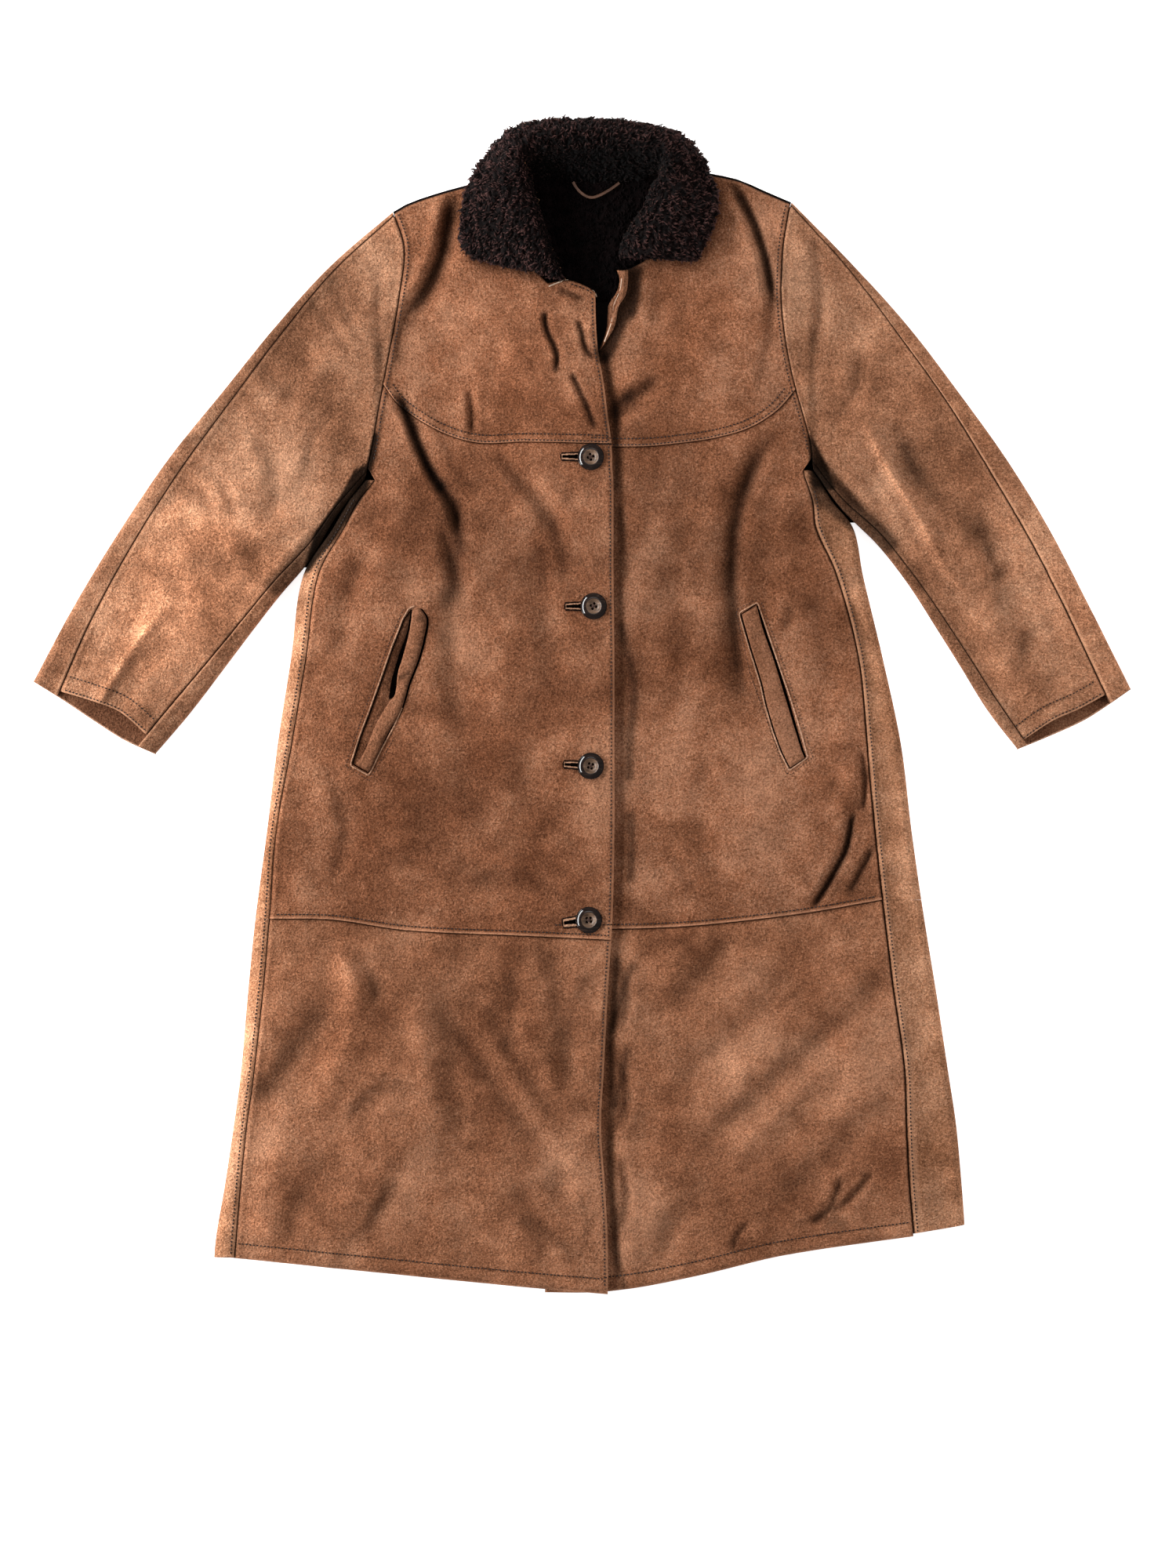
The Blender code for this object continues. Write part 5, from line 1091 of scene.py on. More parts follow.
def sleeve(side):
    """An under sleeve, wrapped round both long folds, and the upper one between its strips."""
    cuts = Line(SLEEVE[side])
    armhole = Line(SIDE[side].climb(SHOULDER_TOP[side], UNDERARM[side]), straight=True)
    cuff_line = Line(CUFF_UNDER[side])
    vs = spaced(cuts.length)
    table = cuts.at(vs)
    outer, inner = table[:, 0:2], table[:, 4:6]
    width = np.linalg.norm(outer - inner, axis=1)

    def spots(share):
        """Plan points on every cut at its own share of the way from the outer fold."""
        found = outer + (inner - outer) * share[:, None]
        for line, weight in ((armhole, (1 - vs)**2), (cuff_line, vs**2)):
            straight = line.p[0] + (line.p[-1] - line.p[0]) * share[:, None]
            found = found + (line.at(share) - straight) * weight[:, None]
        return found

    def near(reach):
        return spots(reach / width)

    def far(reach):
        return spots(1 - (reach + VALLEY_GAP) / width)

    strips = np.maximum(table[:, 2:4], 3.2)
    radii = np.minimum(FOLD_RADIUS, strips - 0.8)
    near_fold, far_fold = (fold_sheets(spot, strips[:, k] - GAP, radii[:, k])
                           for k, spot in enumerate((near, far)))
    first, last = radii[:, 0] / width, 1 - (radii[:, 1] + VALLEY_GAP) / width
    built = []
    for near_sheet, far_sheet, z in zip(near_fold, far_fold, (0.0, BACK_WALL)):
        flat = [np.column_stack([spots(first + (last - first) * u), np.full(len(vs), z)])
                for u in np.linspace(0, 1, 12)[1:-1]]
        built.append(np.concatenate([near_sheet[:, ::-1], np.stack(flat, 1), far_sheet], 1))
    for sheet in built:
        for rim, inside, shift in ((0, 3, 0.5), (-1, -3, GAP)):
            run = (sheet[inside] - sheet[rim]) * (1, 1, 0)
            sheet[rim] += shift * run / np.linalg.norm(run, axis=-1, keepdims=True)
    mark, faced = np.zeros(built[0].shape[:2]), np.zeros(built[0].shape[:2], bool)
    mark[:, :4], mark[:, -4:] = STRIP_MARKS * SLEEVE_LIP, STRIP_MARKS[::-1]
    faced[vs * cuts.length > cuts.length - CUFF_FACING] = True
    cloth("sleeve_back_" + side, *built, LIT_SLEEVE_SUEDE, mark, faced, UNDER_SLEEVE_CUT)

    edges = []
    for run, corner in ((near(strips[:, 0]), 0), (far(strips[:, 1]), -1)):
        nearest = int(np.argmin(np.linalg.norm(run - np.array(CUFF[side][corner]), axis=1)))
        edges.append(Line(run[:max(nearest, int(cuts.length / PITCH) // 2) + 1], straight=True))
    inside = [p for p in armhole.p if edges[1].p[0][1] + 2 < p[1] < edges[0].p[0][1] - 2]
    start = joined([edges[0].p[0]], inside, [edges[1].p[0]])
    cuff = Line([edges[0].p[-1]] + CUFF[side][1:-1] + [edges[1].p[-1]])
    panel("sleeve_front_" + side, (*edges, start, cuff), ("seam", "seam", "seam", "free"), level, flat_floor,
          LIT_SLEEVE_SUEDE)


for half in ("right", "left"):
    fronts(half)
backs()
for half in ("right", "left"):
    sleeve(half)


# ---- resting on the cloth ---------------------------------------------------------------------------
def cloth_tree(*names):
    """Search tree over the named pieces, in mm."""
    points, faces = [], []
    for name in names:
        mesh = bpy.data.objects[name].data
        base = len(points)
        points += [v.co / MM for v in mesh.vertices]
        faces += [[base + i for i in p.vertices] for p in mesh.polygons]
    return BVHTree.FromPolygons(points, faces)


FRONT_NAMES = [p + s + "_cloth" for p in ("skirt_front_", "front_", "yoke_", "sleeve_front_", "sleeve_back_")
               for s in ("right", "left")] + ["back_cloth", "back_skirt_cloth"]
CLOTH = cloth_tree(*FRONT_NAMES)


def top(x, y):
    """Height of the cloth there, 0 beside it."""
    hit = drop(CLOTH, x, y)
    return 0.0 if hit is None else hit.z


def tops(points):
    """Heights of the cloth at plan points."""
    return np.array([top(x, y) for x, y in points])


def circle(count, start=0.0):
    """Cosine and sine of equal steps round a circle."""
    angles = start + 2 * math.pi * np.arange(count) / count
    return list(zip(np.cos(angles).tolist(), np.sin(angles).tolist()))


def tube(base, rings, sides):
    """Faces of a tube whose rings of points start at base: its walls, its first end and its last one."""
    faces = []
    for ring in range(base, base + (rings - 1) * sides, sides):
        for k in range(sides):
            a, b = ring + k, ring + (k + 1) % sides
            faces.append((a, b, b + sides, a + sides))
    last = base + (rings - 1) * sides
    return faces + [tuple(base + k for k in reversed(range(sides))), tuple(range(last, last + sides))]


def doubled(flat, high, low):
    """Points of two grids at two heights over the same plan."""
    return np.vstack([np.dstack([flat, z]).reshape(-1, 3) for z in (high, low)])


def headings(points):
    """Unit directions along a run of plan points."""
    ahead = np.gradient(points, axis=0)
    return ahead / np.maximum(np.linalg.norm(ahead, axis=1, keepdims=True), 1e-9)


# ---- stitching --------------------------------------------------------------------------------------
# share of the stitch's length, share of its radius, dip
STITCH_RINGS = [(-0.5, 0.05, -0.32), (-0.34, 0.85, 0.0), (0.34, 0.85, 0.0), (0.5, 0.05, -0.32)]
BAR_RINGS = [(-0.5, 0.7, -0.9), (-0.36, 1, 0), (0.36, 1, 0), (0.5, 0.7, -0.9)]
STITCH_SIDES = 5


class Seamer:
    """Collects stitches and makes them one piece."""

    def __init__(self):
        self.points, self.faces = [], []

    def row(self, line, pitch=3.8, size=2.3, radius=0.86):
        """One row of stitches along a Line in plan, each laid on the cloth."""
        count = max(int(line.length / pitch), 1)
        for index in range(count):
            u = (index + 0.5) / count
            middle = line.at(u)
            aim = line.at(u + 0.4 / count) - line.at(u - 0.4 / count)
            aim /= max(np.linalg.norm(aim), 1e-6)
            swing = RNG.normal(0, 0.05)
            aim = np.array([aim[0] - swing * aim[1], aim[1] + swing * aim[0]])
            run = size * RNG.uniform(0.88, 1.08)
            low, high = tops([middle - aim * run * 0.42, middle + aim * run * 0.42])
            rise = np.clip((high - low) / (0.84 * run), -0.8, 0.8)
            self.sew(middle, (low + high) / 2 + radius * 0.6 - 0.1, aim, run, radius, STITCH_RINGS,
                     math.pi / STITCH_SIDES, rise)

    def sew(self, middle, z, aim, size, radius, rings, start=0.0, rise=0.0):
        """One straight stitch, its ends turned down."""
        base = len(self.points)
        side = np.array([-aim[1], aim[0]])
        for share, width, dip in rings:
            for out, up in circle(STITCH_SIDES, start):
                x, y = middle + aim * share * size + side * out * radius * width
                self.points.append((x, y, z + rise * share * size + up * radius * width + dip))
        self.faces += tube(base, len(rings), STITCH_SIDES)

    def make(self, name, material=None):
        made = mesh_piece(name, self.points, self.faces, [material or THREAD], smooth=60)


def beside(line, reach):
    """The line moved sideways to its left by reach mm."""
    return Line(line.p + reach * headings(line.p) @ ((0, 1), (-1, 0)), straight=True)


def part_beside(points, reach, first, last):
    """Part of the line through the points, moved sideways."""
    return Line(beside(Line(points), reach).at(np.linspace(first, last, 60)), straight=True)


def stitching():
    rows = Seamer()
    for side, yoke_part, skirt_end in (("right", (0.02, 0.985), 0.985), ("left", (0.10, 0.98), 0.98)):
        for reach in (1.9, 8.4):
            rows.row(part_beside(YOKE_SEAM[side], reach, *yoke_part))
        rows.row(part_beside(SKIRT_SEAM[side], 4.8, 0.02, skirt_end))
    rows.make("stitches_yoke")

    rows = Seamer()
    rows.row(beside(Line(OVER_EDGE.climb(-606, 428, 80), straight=True), 3.6))
    rows.row(part_beside(RIGHT_NECK_EDGE[1:], -3.4, 0.1, 0.95))
    rows.row(part_beside(HEM["right"], 16.0, 0.005, 0.985))
    rows.row(part_beside(HEM["left"], 15.5, 0.16, 0.995))
    rows.make("stitches_placket")

    rows = Seamer()
    for side, sense, hem_end in (("right", 1, 0), ("left", -1, -1)):
        seam = Line(SEAM[side].climb(HEM[side][hem_end][1] + 4, UNDERARM[side] - 22, 80), straight=True)
        rows.row(beside(seam, sense * 4.6))
        hole = Line(SIDE[side].climb(UNDERARM[side] + 22, SHOULDER_TOP[side] - 4, 60), straight=True)
        rows.row(beside(hole, -sense * 4.4))
    rows.make("stitches_sides")

    rows = Seamer()
    for side, sense in (("right", 1), ("left", -1)):
        for reach in (17.5, 2.6):
            rows.row(part_beside(CUFF[side], sense * reach, 0.03, 0.97))
    rows.make("stitches_cuffs")


# ---- buttons and buttonholes --------------------------------------------------------------------------
HOLES = [(-0.6, 2.75), (2.6, 0.8), (-2.7, -0.6), (0.3, -2.75)]
BUTTON_TURNS = (0.0, 0.5, -0.3, 0.9)
BUTTON_SIDES = 72
BUTTON_RINGS = [*np.linspace(0.4, 6, 20), *np.linspace(6.3, 13.5, 22)]      # radii of the turned face
BUTTON_BACK = [(13.9, 1.9), (13.6, 0.9), (12.2, 0.2), (10, 0.0)]            # radius and height


def button_height(x, y):
    """Upper face of a turned button: broad sloping rim, dish and four drilled holes."""
    r = math.hypot(x, y)
    if r > 8.5:
        z = 4.30 - 2.75 * min((r - 8.5) / 4.9, 1.0) ** 1.7
    elif r > 4.7:
        z = 1.30 + 3.0 * ease((r - 4.7) / 3.8) + 0.3 * math.exp(-((r - 5.2) / 0.4)**2)
    else:
        z = 1.25
    for hx, hy in HOLES:
        d = math.hypot(x - hx, y - hy)
        z -= 1.1 * (1 - ease((d - 1.15) / 0.5))
    return max(z, 0.15)


def spun(x, y, angle):
    """The point turned about the origin."""
    return x * math.cos(angle) - y * math.sin(angle), x * math.sin(angle) + y * math.cos(angle)


def buttons():
    """Turned buttons, each with two pairs of threads through its holes."""
    fan = [(0, 1 + k, 1 + (k + 1) % BUTTON_SIDES) for k in range(BUTTON_SIDES)]
    walls = [face[::-1] for face in tube(1, len(BUTTON_RINGS) + len(BUTTON_BACK), BUTTON_SIDES)]
    faces = fan + walls[:-2] + walls[-1:]
    for turn, (node, (bx, by)) in zip(BUTTON_TURNS, BUTTONS.items()):
        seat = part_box(node)[0][2] / MM
        points = [(0, 0, button_height(0, 0))]
        for r in BUTTON_RINGS:
            points += [(r * c, r * s, button_height(*spun(r * c, r * s, turn)))
                       for c, s in circle(BUTTON_SIDES)]
        points += [(r * c, r * s, z) for r, z in BUTTON_BACK for c, s in circle(BUTTON_SIDES)]
        points = np.array(points)
        dish = 1 - ease((np.hypot(points[:, 0], points[:, 1]) - 7.6) / 0.7)
        # faces at the holes take near-black, painted shadow in the drilled holes
        hole = [any(math.dist(spun(*points[list(face), :2].mean(0), turn), h) < 1.4 for h in HOLES)
                for face in faces]
        made = mesh_piece(node + "_turned", points + (bx, by, seat), faces, [HORN, SHADOW_BLACK], hole, smooth=50,
                          marks=dish)
        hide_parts(node)
        cross = Seamer()
        for z, ends in ((1.5, (HOLES[0], HOLES[3])), (1.75, (HOLES[1], HOLES[2]))):
            first, last = (np.array(spun(*h, -turn)) for h in ends)
            size = math.dist(first, last)
            aim = (last - first) / size
            for shift in (-0.28, 0.28):
                middle = (first + last) / 2 + (bx, by) + shift * np.array([-aim[1], aim[0]])
                cross.sew(middle, seat + z, aim, size - 0.6, 0.30, BAR_RINGS)
        cross.make(node + "_thread", BUTTON_THREAD)


def patch(name, start, end, half_width, height, slots_at, materials):
    """A relief laid on the cloth round a straight line: height and slot are functions of (along, across)."""
    size = math.dist(start, end)
    aim = np.subtract(end, start) / size
    us = np.linspace(0, size, int(size / PATCH_STEP) + 1)
    vs = np.linspace(-half_width, half_width, int(2 * half_width / PATCH_STEP) + 1)
    u, v = np.meshgrid(us, vs)
    flat = start + u[..., None] * aim + v[..., None] * (-aim[1], aim[0])
    rows, columns = u.shape
    coarse = flat[::4, ::4]
    ground = tops(coarse.reshape(-1, 2)).reshape(coarse.shape[:2])
    ground = np.array([np.interp(np.arange(columns), np.arange(0, columns, 4), g) for g in ground])
    ground = np.array([np.interp(np.arange(rows), np.arange(0, rows, 4), g) for g in ground.T]).T
    mask = height(u[:-1, :-1], v[:-1, :-1]) > -0.5
    upper, lower, sides = closed(rows, columns, rows * columns, mask)
    slots = slots_at(u[:-1, :-1], v[:-1, :-1])[mask]
    made = mesh_piece(name, doubled(flat, ground + height(u, v), ground - BURY),
                      np.vstack([upper, lower, sides]), materials,
                      np.concatenate([slots, slots, np.zeros(len(sides), int)]))


BUTTONHOLES = {"button_top": (-23.4, 261.2), "button_upper": (-19.3, 104.5), "button_lower": (-20.9, -60.3),
               "button_bottom": (-21.7, -226.7)}
PATCH_STEP = 0.4
BURY = 0.6             # how deep laid trim goes into the cloth


def buttonholes():
    """Worked buttonholes from their outer ends to under the buttons."""
    for node, middle in BUTTONS.items():
        left = BUTTONHOLES[node]
        large = 1.25 if node == "button_bottom" else 1.0
        aim = np.subtract(middle, left) / math.dist(left, middle)
        reach = math.dist(left, middle) - 6

        def gape(u, large=large):
            """Half height of the slit along the buttonhole."""
            return large * np.where(u > 2.8, 1.35 + 0.7 * ease((u - 2.8) / 16), 0.0)

        def rim(u, large=large):
            """Half height of the whole worked edge."""
            return large * (4.7 + 0.7 * ease(u / 24)) * np.sqrt(np.clip(u / 2.0, 0.0, 1.0))

        def height(u, v, gape=gape, rim=rim):
            lip = 0.6 * np.exp(-((np.abs(v) - gape(u) - 0.75) / 0.7)**2)
            return np.where(np.abs(v) < rim(u), np.where(np.abs(v) < gape(u), 1.25, 1.2 + lip), -1.0)

        # the lips in a lighter suede as a painted highlight; the slit and the outline in near-black as
        # painted shadow
        def slots_at(u, v, gape=gape, rim=rim):
            outer = (np.abs(v) > rim(u) - 1.9) | (u < 1.9)
            return np.where(np.abs(v) < gape(u) + 0.1, 1, np.where(outer, 2, 0))

        patch(node.replace("button", "buttonhole"), left, left + aim * reach, 5.8 * large, height, slots_at,
              [LIT_LIP_SUEDE, SHADOW_BLACK, DARK_EDGE])


# ---- pockets ------------------------------------------------------------------------------------------
def band(name, left, right, rise, material, across=9, step=2.0, shade=None):
    """A strip between two lines in plan, its height over the cloth from rise(u, v), its painted light and
    shade from shade(u, v).
    """
    rows = max(int(max(left.length, right.length) / step), 6) + 1
    us, vs = (1 - np.cos(np.linspace(0, math.pi, across))) / 2, np.linspace(0, 1, rows)
    u, v = np.meshgrid(us, vs)
    flat = left.at(vs)[:, None] * (1 - u[..., None]) + right.at(vs)[:, None] * u[..., None]
    ground = tops(flat.reshape(-1, 2)).reshape(u.shape)
    soft = ground.copy()
    for _ in range(3):
        soft[1:-1] = (soft[:-2] + soft[1:-1] * 2 + soft[2:]) / 4
    points = doubled(flat, np.maximum(soft, ground) + rise(u, v), ground - BURY)
    made = mesh_piece(name, points, np.vstack(closed(rows, across, u.size)), [material],
                      tones=None if shade is None else np.tile(shade(u, v).reshape(-1), 2))
    return made


def crown(puff, lift=1.2, sharp=0.12):
    """Rounded cross-section of a folded band: lift at its edges, puff in its middle."""
    def rise(u, v):
        edge = np.minimum(np.minimum(u, 1 - u) / sharp, 1)
        ends = np.minimum(np.minimum(v, 1 - v) / 0.02, 1)
        round_off = np.sqrt(np.maximum(1 - (1 - edge)**2, 0)) * np.sqrt(np.maximum(1 - (1 - ends)**2, 0))
        middle = np.sin(math.pi * u)**0.7 * np.sin(math.pi * np.clip(v, 0.02, 0.98))**0.35
        return 0.25 + lift * round_off + puff * middle
    return rise


def flat_rise(height):
    """An even height for a band."""
    return lambda u, v: np.full(u.shape, height)


CORD_STEP = 1.6
CORD_SIDES = 6


def cord_line(name, points, radius, material, lift=0.0, straight=False, level_at=None):
    """A thin raised ridge laid on the cloth, such as a piped or folded seam lip."""
    line = Line(points, straight)
    rings = max(int(line.length / CORD_STEP), 2) + 1
    flat = line.at(np.linspace(0, 1, rings))
    z = np.convolve(np.pad(tops(flat), 2, mode="edge"), np.ones(5) / 5, mode="valid") + radius * 0.35 + lift
    if level_at is not None:
        z[:] = level_at
    around = [(x - ay * c * radius, y + ax * c * radius, h + s * radius)
              for (x, y), h, (ax, ay) in zip(flat, z, headings(flat)) for c, s in circle(CORD_SIDES)]
    made = mesh_piece(name, around, tube(0, rings, CORD_SIDES), [material], smooth=70)


def left_pocket():
    """The wearer's left: a neat band with a dark slit on its outer side."""
    edge = [(166.0, 96.3), (175.9, 61.1), (187.4, 24.2), (192.3, 2.0), (200.5, -25.8), (208.7, -48.0),
            (216.9, -64.4)]
    slit_in = Line([(182.4, 105.4), (189.0, 80.8), (200.5, 48.0), (211.1, 13.5), (221.0, -19.3),
                    (229.2, -45.5), (232.5, -53.7)])
    slit_out = Line([(184.9, 104.5), (192.3, 79.1), (204.6, 43.9), (216.1, 7.0), (225.1, -24.2),
                     (231.6, -45.5), (234.1, -52.1)])
    # the welt lighter on its outer side and darker towards the slit: painted light and shade
    welt = band("pocket_welt_left_band", Line([(x + 0.9, y) for x, y in edge]), slit_in, crown(0.7, 1.9),
                PALE_SUEDE, across=13, shade=lambda u, v: 0.15 - 0.25 * u)
    declare("pocket_welt_left")
    # painted shadow in the slit and along a black line inside the frame; the frame's raised lip in a lighter
    # suede, a painted highlight
    band("pocket_slit_left", slit_in, slit_out, flat_rise(0.25), SHADOW_BLACK, across=4)
    outline = [(184.1, 107.0), (198.0, 66.0), (217.7, 8.6), (228.4, -25.8), (235.8, -52.9), (217.7, -66.0),
               (215.2, -66.0)]
    outline += [(x - 1.5, y) for x, y in edge[::-1]] + [(165.2, 98.8), (182.4, 108.6), (184.1, 107.0)]
    cord_line("pocket_lip_left", outline, 0.75, LIT_LIP_SUEDE, lift=0.3, straight=True)
    line = [(234.1, -53.7), (216.9, -64.4)] + edge[-2::-1] + [(181.6, 106.6)]
    cord_line("pocket_line_left", line, 0.5, SHADOW_BLACK, lift=0.4, straight=True)


def right_pocket():
    """The wearer's right: the band has sagged out of its frame and shows the facing behind it."""
    frame_left = Line([(-179.2, 102.1), (-186.5, 91.4), (-198.8, 60.3), (-209.5, 29.1), (-221.0, -2.9),
                       (-231.6, -30.7), (-240.7, -59.4)], straight=True)
    free = Line([(-177.5, 100.4), (-180.8, 77.5), (-188.2, 49.6), (-192.3, 36.5), (-195.6, 12.7),
                 (-201.3, 5.3), (-214.4, -16.0), (-221.8, -34.0), (-230.8, -52.9), (-236.6, -59.4)])
    folded = Line([(-169.3, 102.9), (-162.8, 92.2), (-165.2, 72.6), (-171.8, 48.0), (-180.8, 25.0),
                   (-185.7, 7.0), (-190.6, -7.0), (-201.3, -25.0), (-210.3, -43.0), (-221.8, -68.5)])
    gap_edge = Line([(-179.2, 98.8), (-183.3, 76.7), (-190.6, 57.0), (-195.6, 40.6), (-199.7, 25.0),
                     (-202.1, 7.8)])
    # painted shade on the facing, darkest near the slit's upper part, and painted shadow in the gap
    band("pocket_facing_right", frame_left, free, flat_rise(0.2), LEFT_SUEDE, across=7,
         shade=lambda u, v: -0.35 - 2.2 * u * ease((0.62 - v) / 0.3) - 0.5 * u)
    band("pocket_slit_right", gap_edge, Line(free.p[:46]), flat_rise(0.5), SHADOW_BLACK, across=4)

    def sagging(u, v):
        kink = 0.8 * np.exp(-((v - 0.47) / 0.03)**2) * (1 - u)
        twist = 0.35 * np.sin(5 * v + 3 * u) * np.sin(math.pi * v)
        return crown(1.0, 2.4, 0.16)(u, v) - kink + twist

    # painted light along the free edge, painted shade towards the fold, in a crease and at the top corner
    def shaded(u, v):
        crease = -1.2 * np.exp(-((v - 0.43 + 0.06 * u) / 0.018)**2) * (u < 0.7) * (u > 0.1)
        corner = -1.3 * np.exp(-((v - 0.06) / 0.02)**2 - ((u - 0.6) / 0.25)**2)
        return 0.25 - 1.1 * ease((u - 0.45) / 0.55) + crease + corner

    welt = band("pocket_welt_right_band", free, folded, sagging, PALE_SUEDE, across=17, step=1.5,
                shade=shaded)
    declare("pocket_welt_right")
    # painted shadow beside the fold; then the frame's lip in a lighter suede as a painted highlight and a
    # black line inside it as painted shadow
    thick = np.linspace(2.6, 1.2, len(folded.p))[:, None]
    band("pocket_shadow_right", folded, Line(folded.p + thick * (0.95, -0.3)), flat_rise(0.25), SHADOW_BLACK,
         across=3)
    frame_low = [(-241.5, -61.9), (-223.4, -71.8), (-220.2, -66.8), (-210.3, -45.5), (-197.2, -21.7),
                 (-188.2, -1.2)]
    lip = [(-175.1, 105.4), (-181.6, 102.1)] + [(x - 1.2, y) for x, y in frame_left.p[1:]] + frame_low
    cord_line("pocket_lip_right", lip, 0.8, LIT_LIP_SUEDE, lift=0.3, straight=True)
    line = [(-178.3, 101.3)] + [(x + 0.9, y) for x, y in frame_left.p[1:]]
    cord_line("pocket_line_right", line + [(-239.0, -60.3), (-223.4, -69.3), (-212.0, -45.5)], 0.55, SHADOW_BLACK,
              lift=0.5, straight=True)


def pockets():
    left_pocket()
    right_pocket()
    rows = Seamer()
    for points in ([(187.4, 109.5), (213.6, 35.7), (241.5, -52.9), (218.5, -70.9), (212.8, -69.3)],
                   [(212.8, -69.3), (175.9, 34.0), (161.1, 98.0), (163.6, 102.9), (183.3, 111.9)],
                   [(-186.5, 102.9), (-205.4, 57.0), (-229.2, -8.6), (-247.2, -61.9), (-222.6, -77.5),
                    (-197.2, -34.0)]):
        rows.row(Line(points, straight=True), pitch=3.4, size=2.2, radius=0.4)
    rows.make("stitches_pockets")


def declare(node):
    """Hide the node that a welt stands for."""
    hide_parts(node)


# ---- fleece ---------------------------------------------------------------------------------------------
NECK = np.array([10.0, 505.0])      # the fleece of the collar lies outward from here


def fleece_relief(points, length, width, depth, seed):
    """Height of the tufts at points in mm; they lie along rays from the neck."""
    heights = []
    for x, y, z in points:
        dx, dy = x - NECK[0], y - NECK[1]
        spot = Vector((math.atan2(dy, dx) * 70 / width + seed, (math.hypot(dx, dy) + z * 0.8) / length,
                       z / length * 0.6))
        spot += turbulence.noise_vector(Vector((x, y, z)) * 0.11) * 1.1
        near = turbulence.voronoi(spot)[0]
        tuft = 1 - min(near[0] * 1.15, 1)**1.4
        cleft = min((near[1] - near[0]) * 2.2, 1)
        broad = turbulence.noise(Vector((x, y, z)) * 0.045)
        fine = turbulence.noise(Vector((x, y, z)) * 0.9)
        heights.append(depth * (0.75 * tuft + 0.45 * cleft - 0.62) + 1.1 * broad + 0.25 * fine)
    return np.array(heights)


def remeshed(node, voxel):
    """Voxel copy of a CAD node's mesh, smoothed, as arrays in mm, always in the same order."""
    made = bpy.data.objects.new("wool_work", bpy.data.objects[node].data.copy())
    bpy.context.collection.objects.link(made)
    cut = made.modifiers.new("remesh", "REMESH")
    cut.mode = "VOXEL"
    cut.voxel_size = voxel * MM
    soft = made.modifiers.new("smooth", "SMOOTH")
    soft.factor = 0.5
    soft.iterations = 26
    mesh = made.evaluated_get(bpy.context.evaluated_depsgraph_get()).to_mesh()
    points = np.empty(len(mesh.vertices) * 3)
    mesh.vertices.foreach_get("co", points)
    points = points.reshape(-1, 3) / MM
    order = np.lexsort(np.round(points, 3).T)
    new_index = np.empty(len(order), int)
    new_index[order] = np.arange(len(order))
    faces = []
    for polygon in mesh.polygons:
        face = [int(new_index[v]) for v in polygon.vertices]
        first = face.index(min(face))
        faces.append(tuple(face[first:] + face[:first]))
    bpy.data.objects.remove(made)
    return points[order], sorted(faces)


def normals_of(points, faces):
    """Normals at the points, and the faces as quads."""
    quads = np.array([f if len(f) == 4 else (*f, f[2]) for f in faces])
    a, b, c, d = (points[quads[:, k]] for k in range(4))
    across = np.cross(c - a, d - b)
    found = np.zeros(points.shape)
    for k in range(4):
        np.add.at(found, quads[:, k], across)
    return found / np.maximum(np.linalg.norm(found, axis=1, keepdims=True), 1e-9), quads


LOCK_RINGS = ((0, -0.6, 1.0, 0.0), (0.32, 0.55, 1.05, 0.45), (0.7, 0.75, 0.8, 0.8))   # run, lift, width, mark: share of the painted tip highlight


def tufts(name, points, surface, count, seed, size, flow, lowest, material, shade=None):
    """Short curled locks standing on the fleece wherever its normal's z is above lowest."""
    normals, quads = surface
    rng = np.random.default_rng(seed)
    middle = points[quads].mean(axis=1)
    able = np.flatnonzero(normals[quads[:, 0], 2] > lowest)
    made, faces, marks = [], [], []
    for q in rng.choice(able, count, replace=len(able) < count):
        base, normal = middle[q], normals[quads[q, 0]]
        along = flow(base)
        along = along - normal * np.dot(along, normal)
        along = along / max(np.linalg.norm(along), 1e-6)
        swing = rng.normal(0, 0.55)
        aim = along * math.cos(swing) + np.cross(normal, along) * math.sin(swing)
        side = np.cross(normal, aim)
        reach, width, curl = size * rng.uniform(0.7, 1.25), rng.uniform(0.75, 1.2), rng.uniform(-0.5, 0.5)
        first = len(made)
        for run, lift, thick, mark in LOCK_RINGS:
            centre = base + aim * run * reach + normal * lift + side * curl * run * run * reach
            made += [centre + (side * c + normal * s * 0.8) * width * thick for c, s in circle(3, 0.5)]
            marks += [mark] * 3
        made.append(base + aim * reach + normal * rng.uniform(0.1, 0.7) + side * curl * reach)
        marks.append(1.0)
        faces += tube(first, 3, 3)[:-2]
        faces += [(first + 6 + k, first + 6 + (k + 1) % 3, first + 9) for k in range(3)]
    made = np.array(made)
    fluff = mesh_piece(name, made, faces, [material], smooth=180, marks=marks,
                       tones=None if shade is None else shade(made))


def ray_flow(spot):
    """Lie of the collar's locks: outward from the neck and a little down."""
    out = np.array([spot[0] - NECK[0], spot[1] - NECK[1], 0.0])
    out /= max(np.linalg.norm(out), 1e-6)
    return out + np.array([0.25, -0.35, 0])


HOLLOW = np.array([(-52.9, 571.9), (-43.0, 583.4), (14.3, 588.3), (84.9, 583.4), (94.7, 571.9), (86.5, 553.9),
                   (65.2, 524.4), (43.9, 489.9), (37.3, 468.6), (30.7, 444.0), (-21.7, 444.0), (-28.3, 468.6),
                   (-39.8, 508.0), (-51.2, 562.9)])


def inner_shade(points):
    """Stops of painted shade inside the collar's roll, soft at its edge."""
    x, y = points[:, 0], points[:, 1]
    d = distance(x, y, segments(np.vstack([HOLLOW, HOLLOW[:1]])))
    return -2.8 * np.where(within(x, y, HOLLOW), 0.35 + 0.65 * ease(d / 16), 0.35 * (1 - ease(d / 8)))


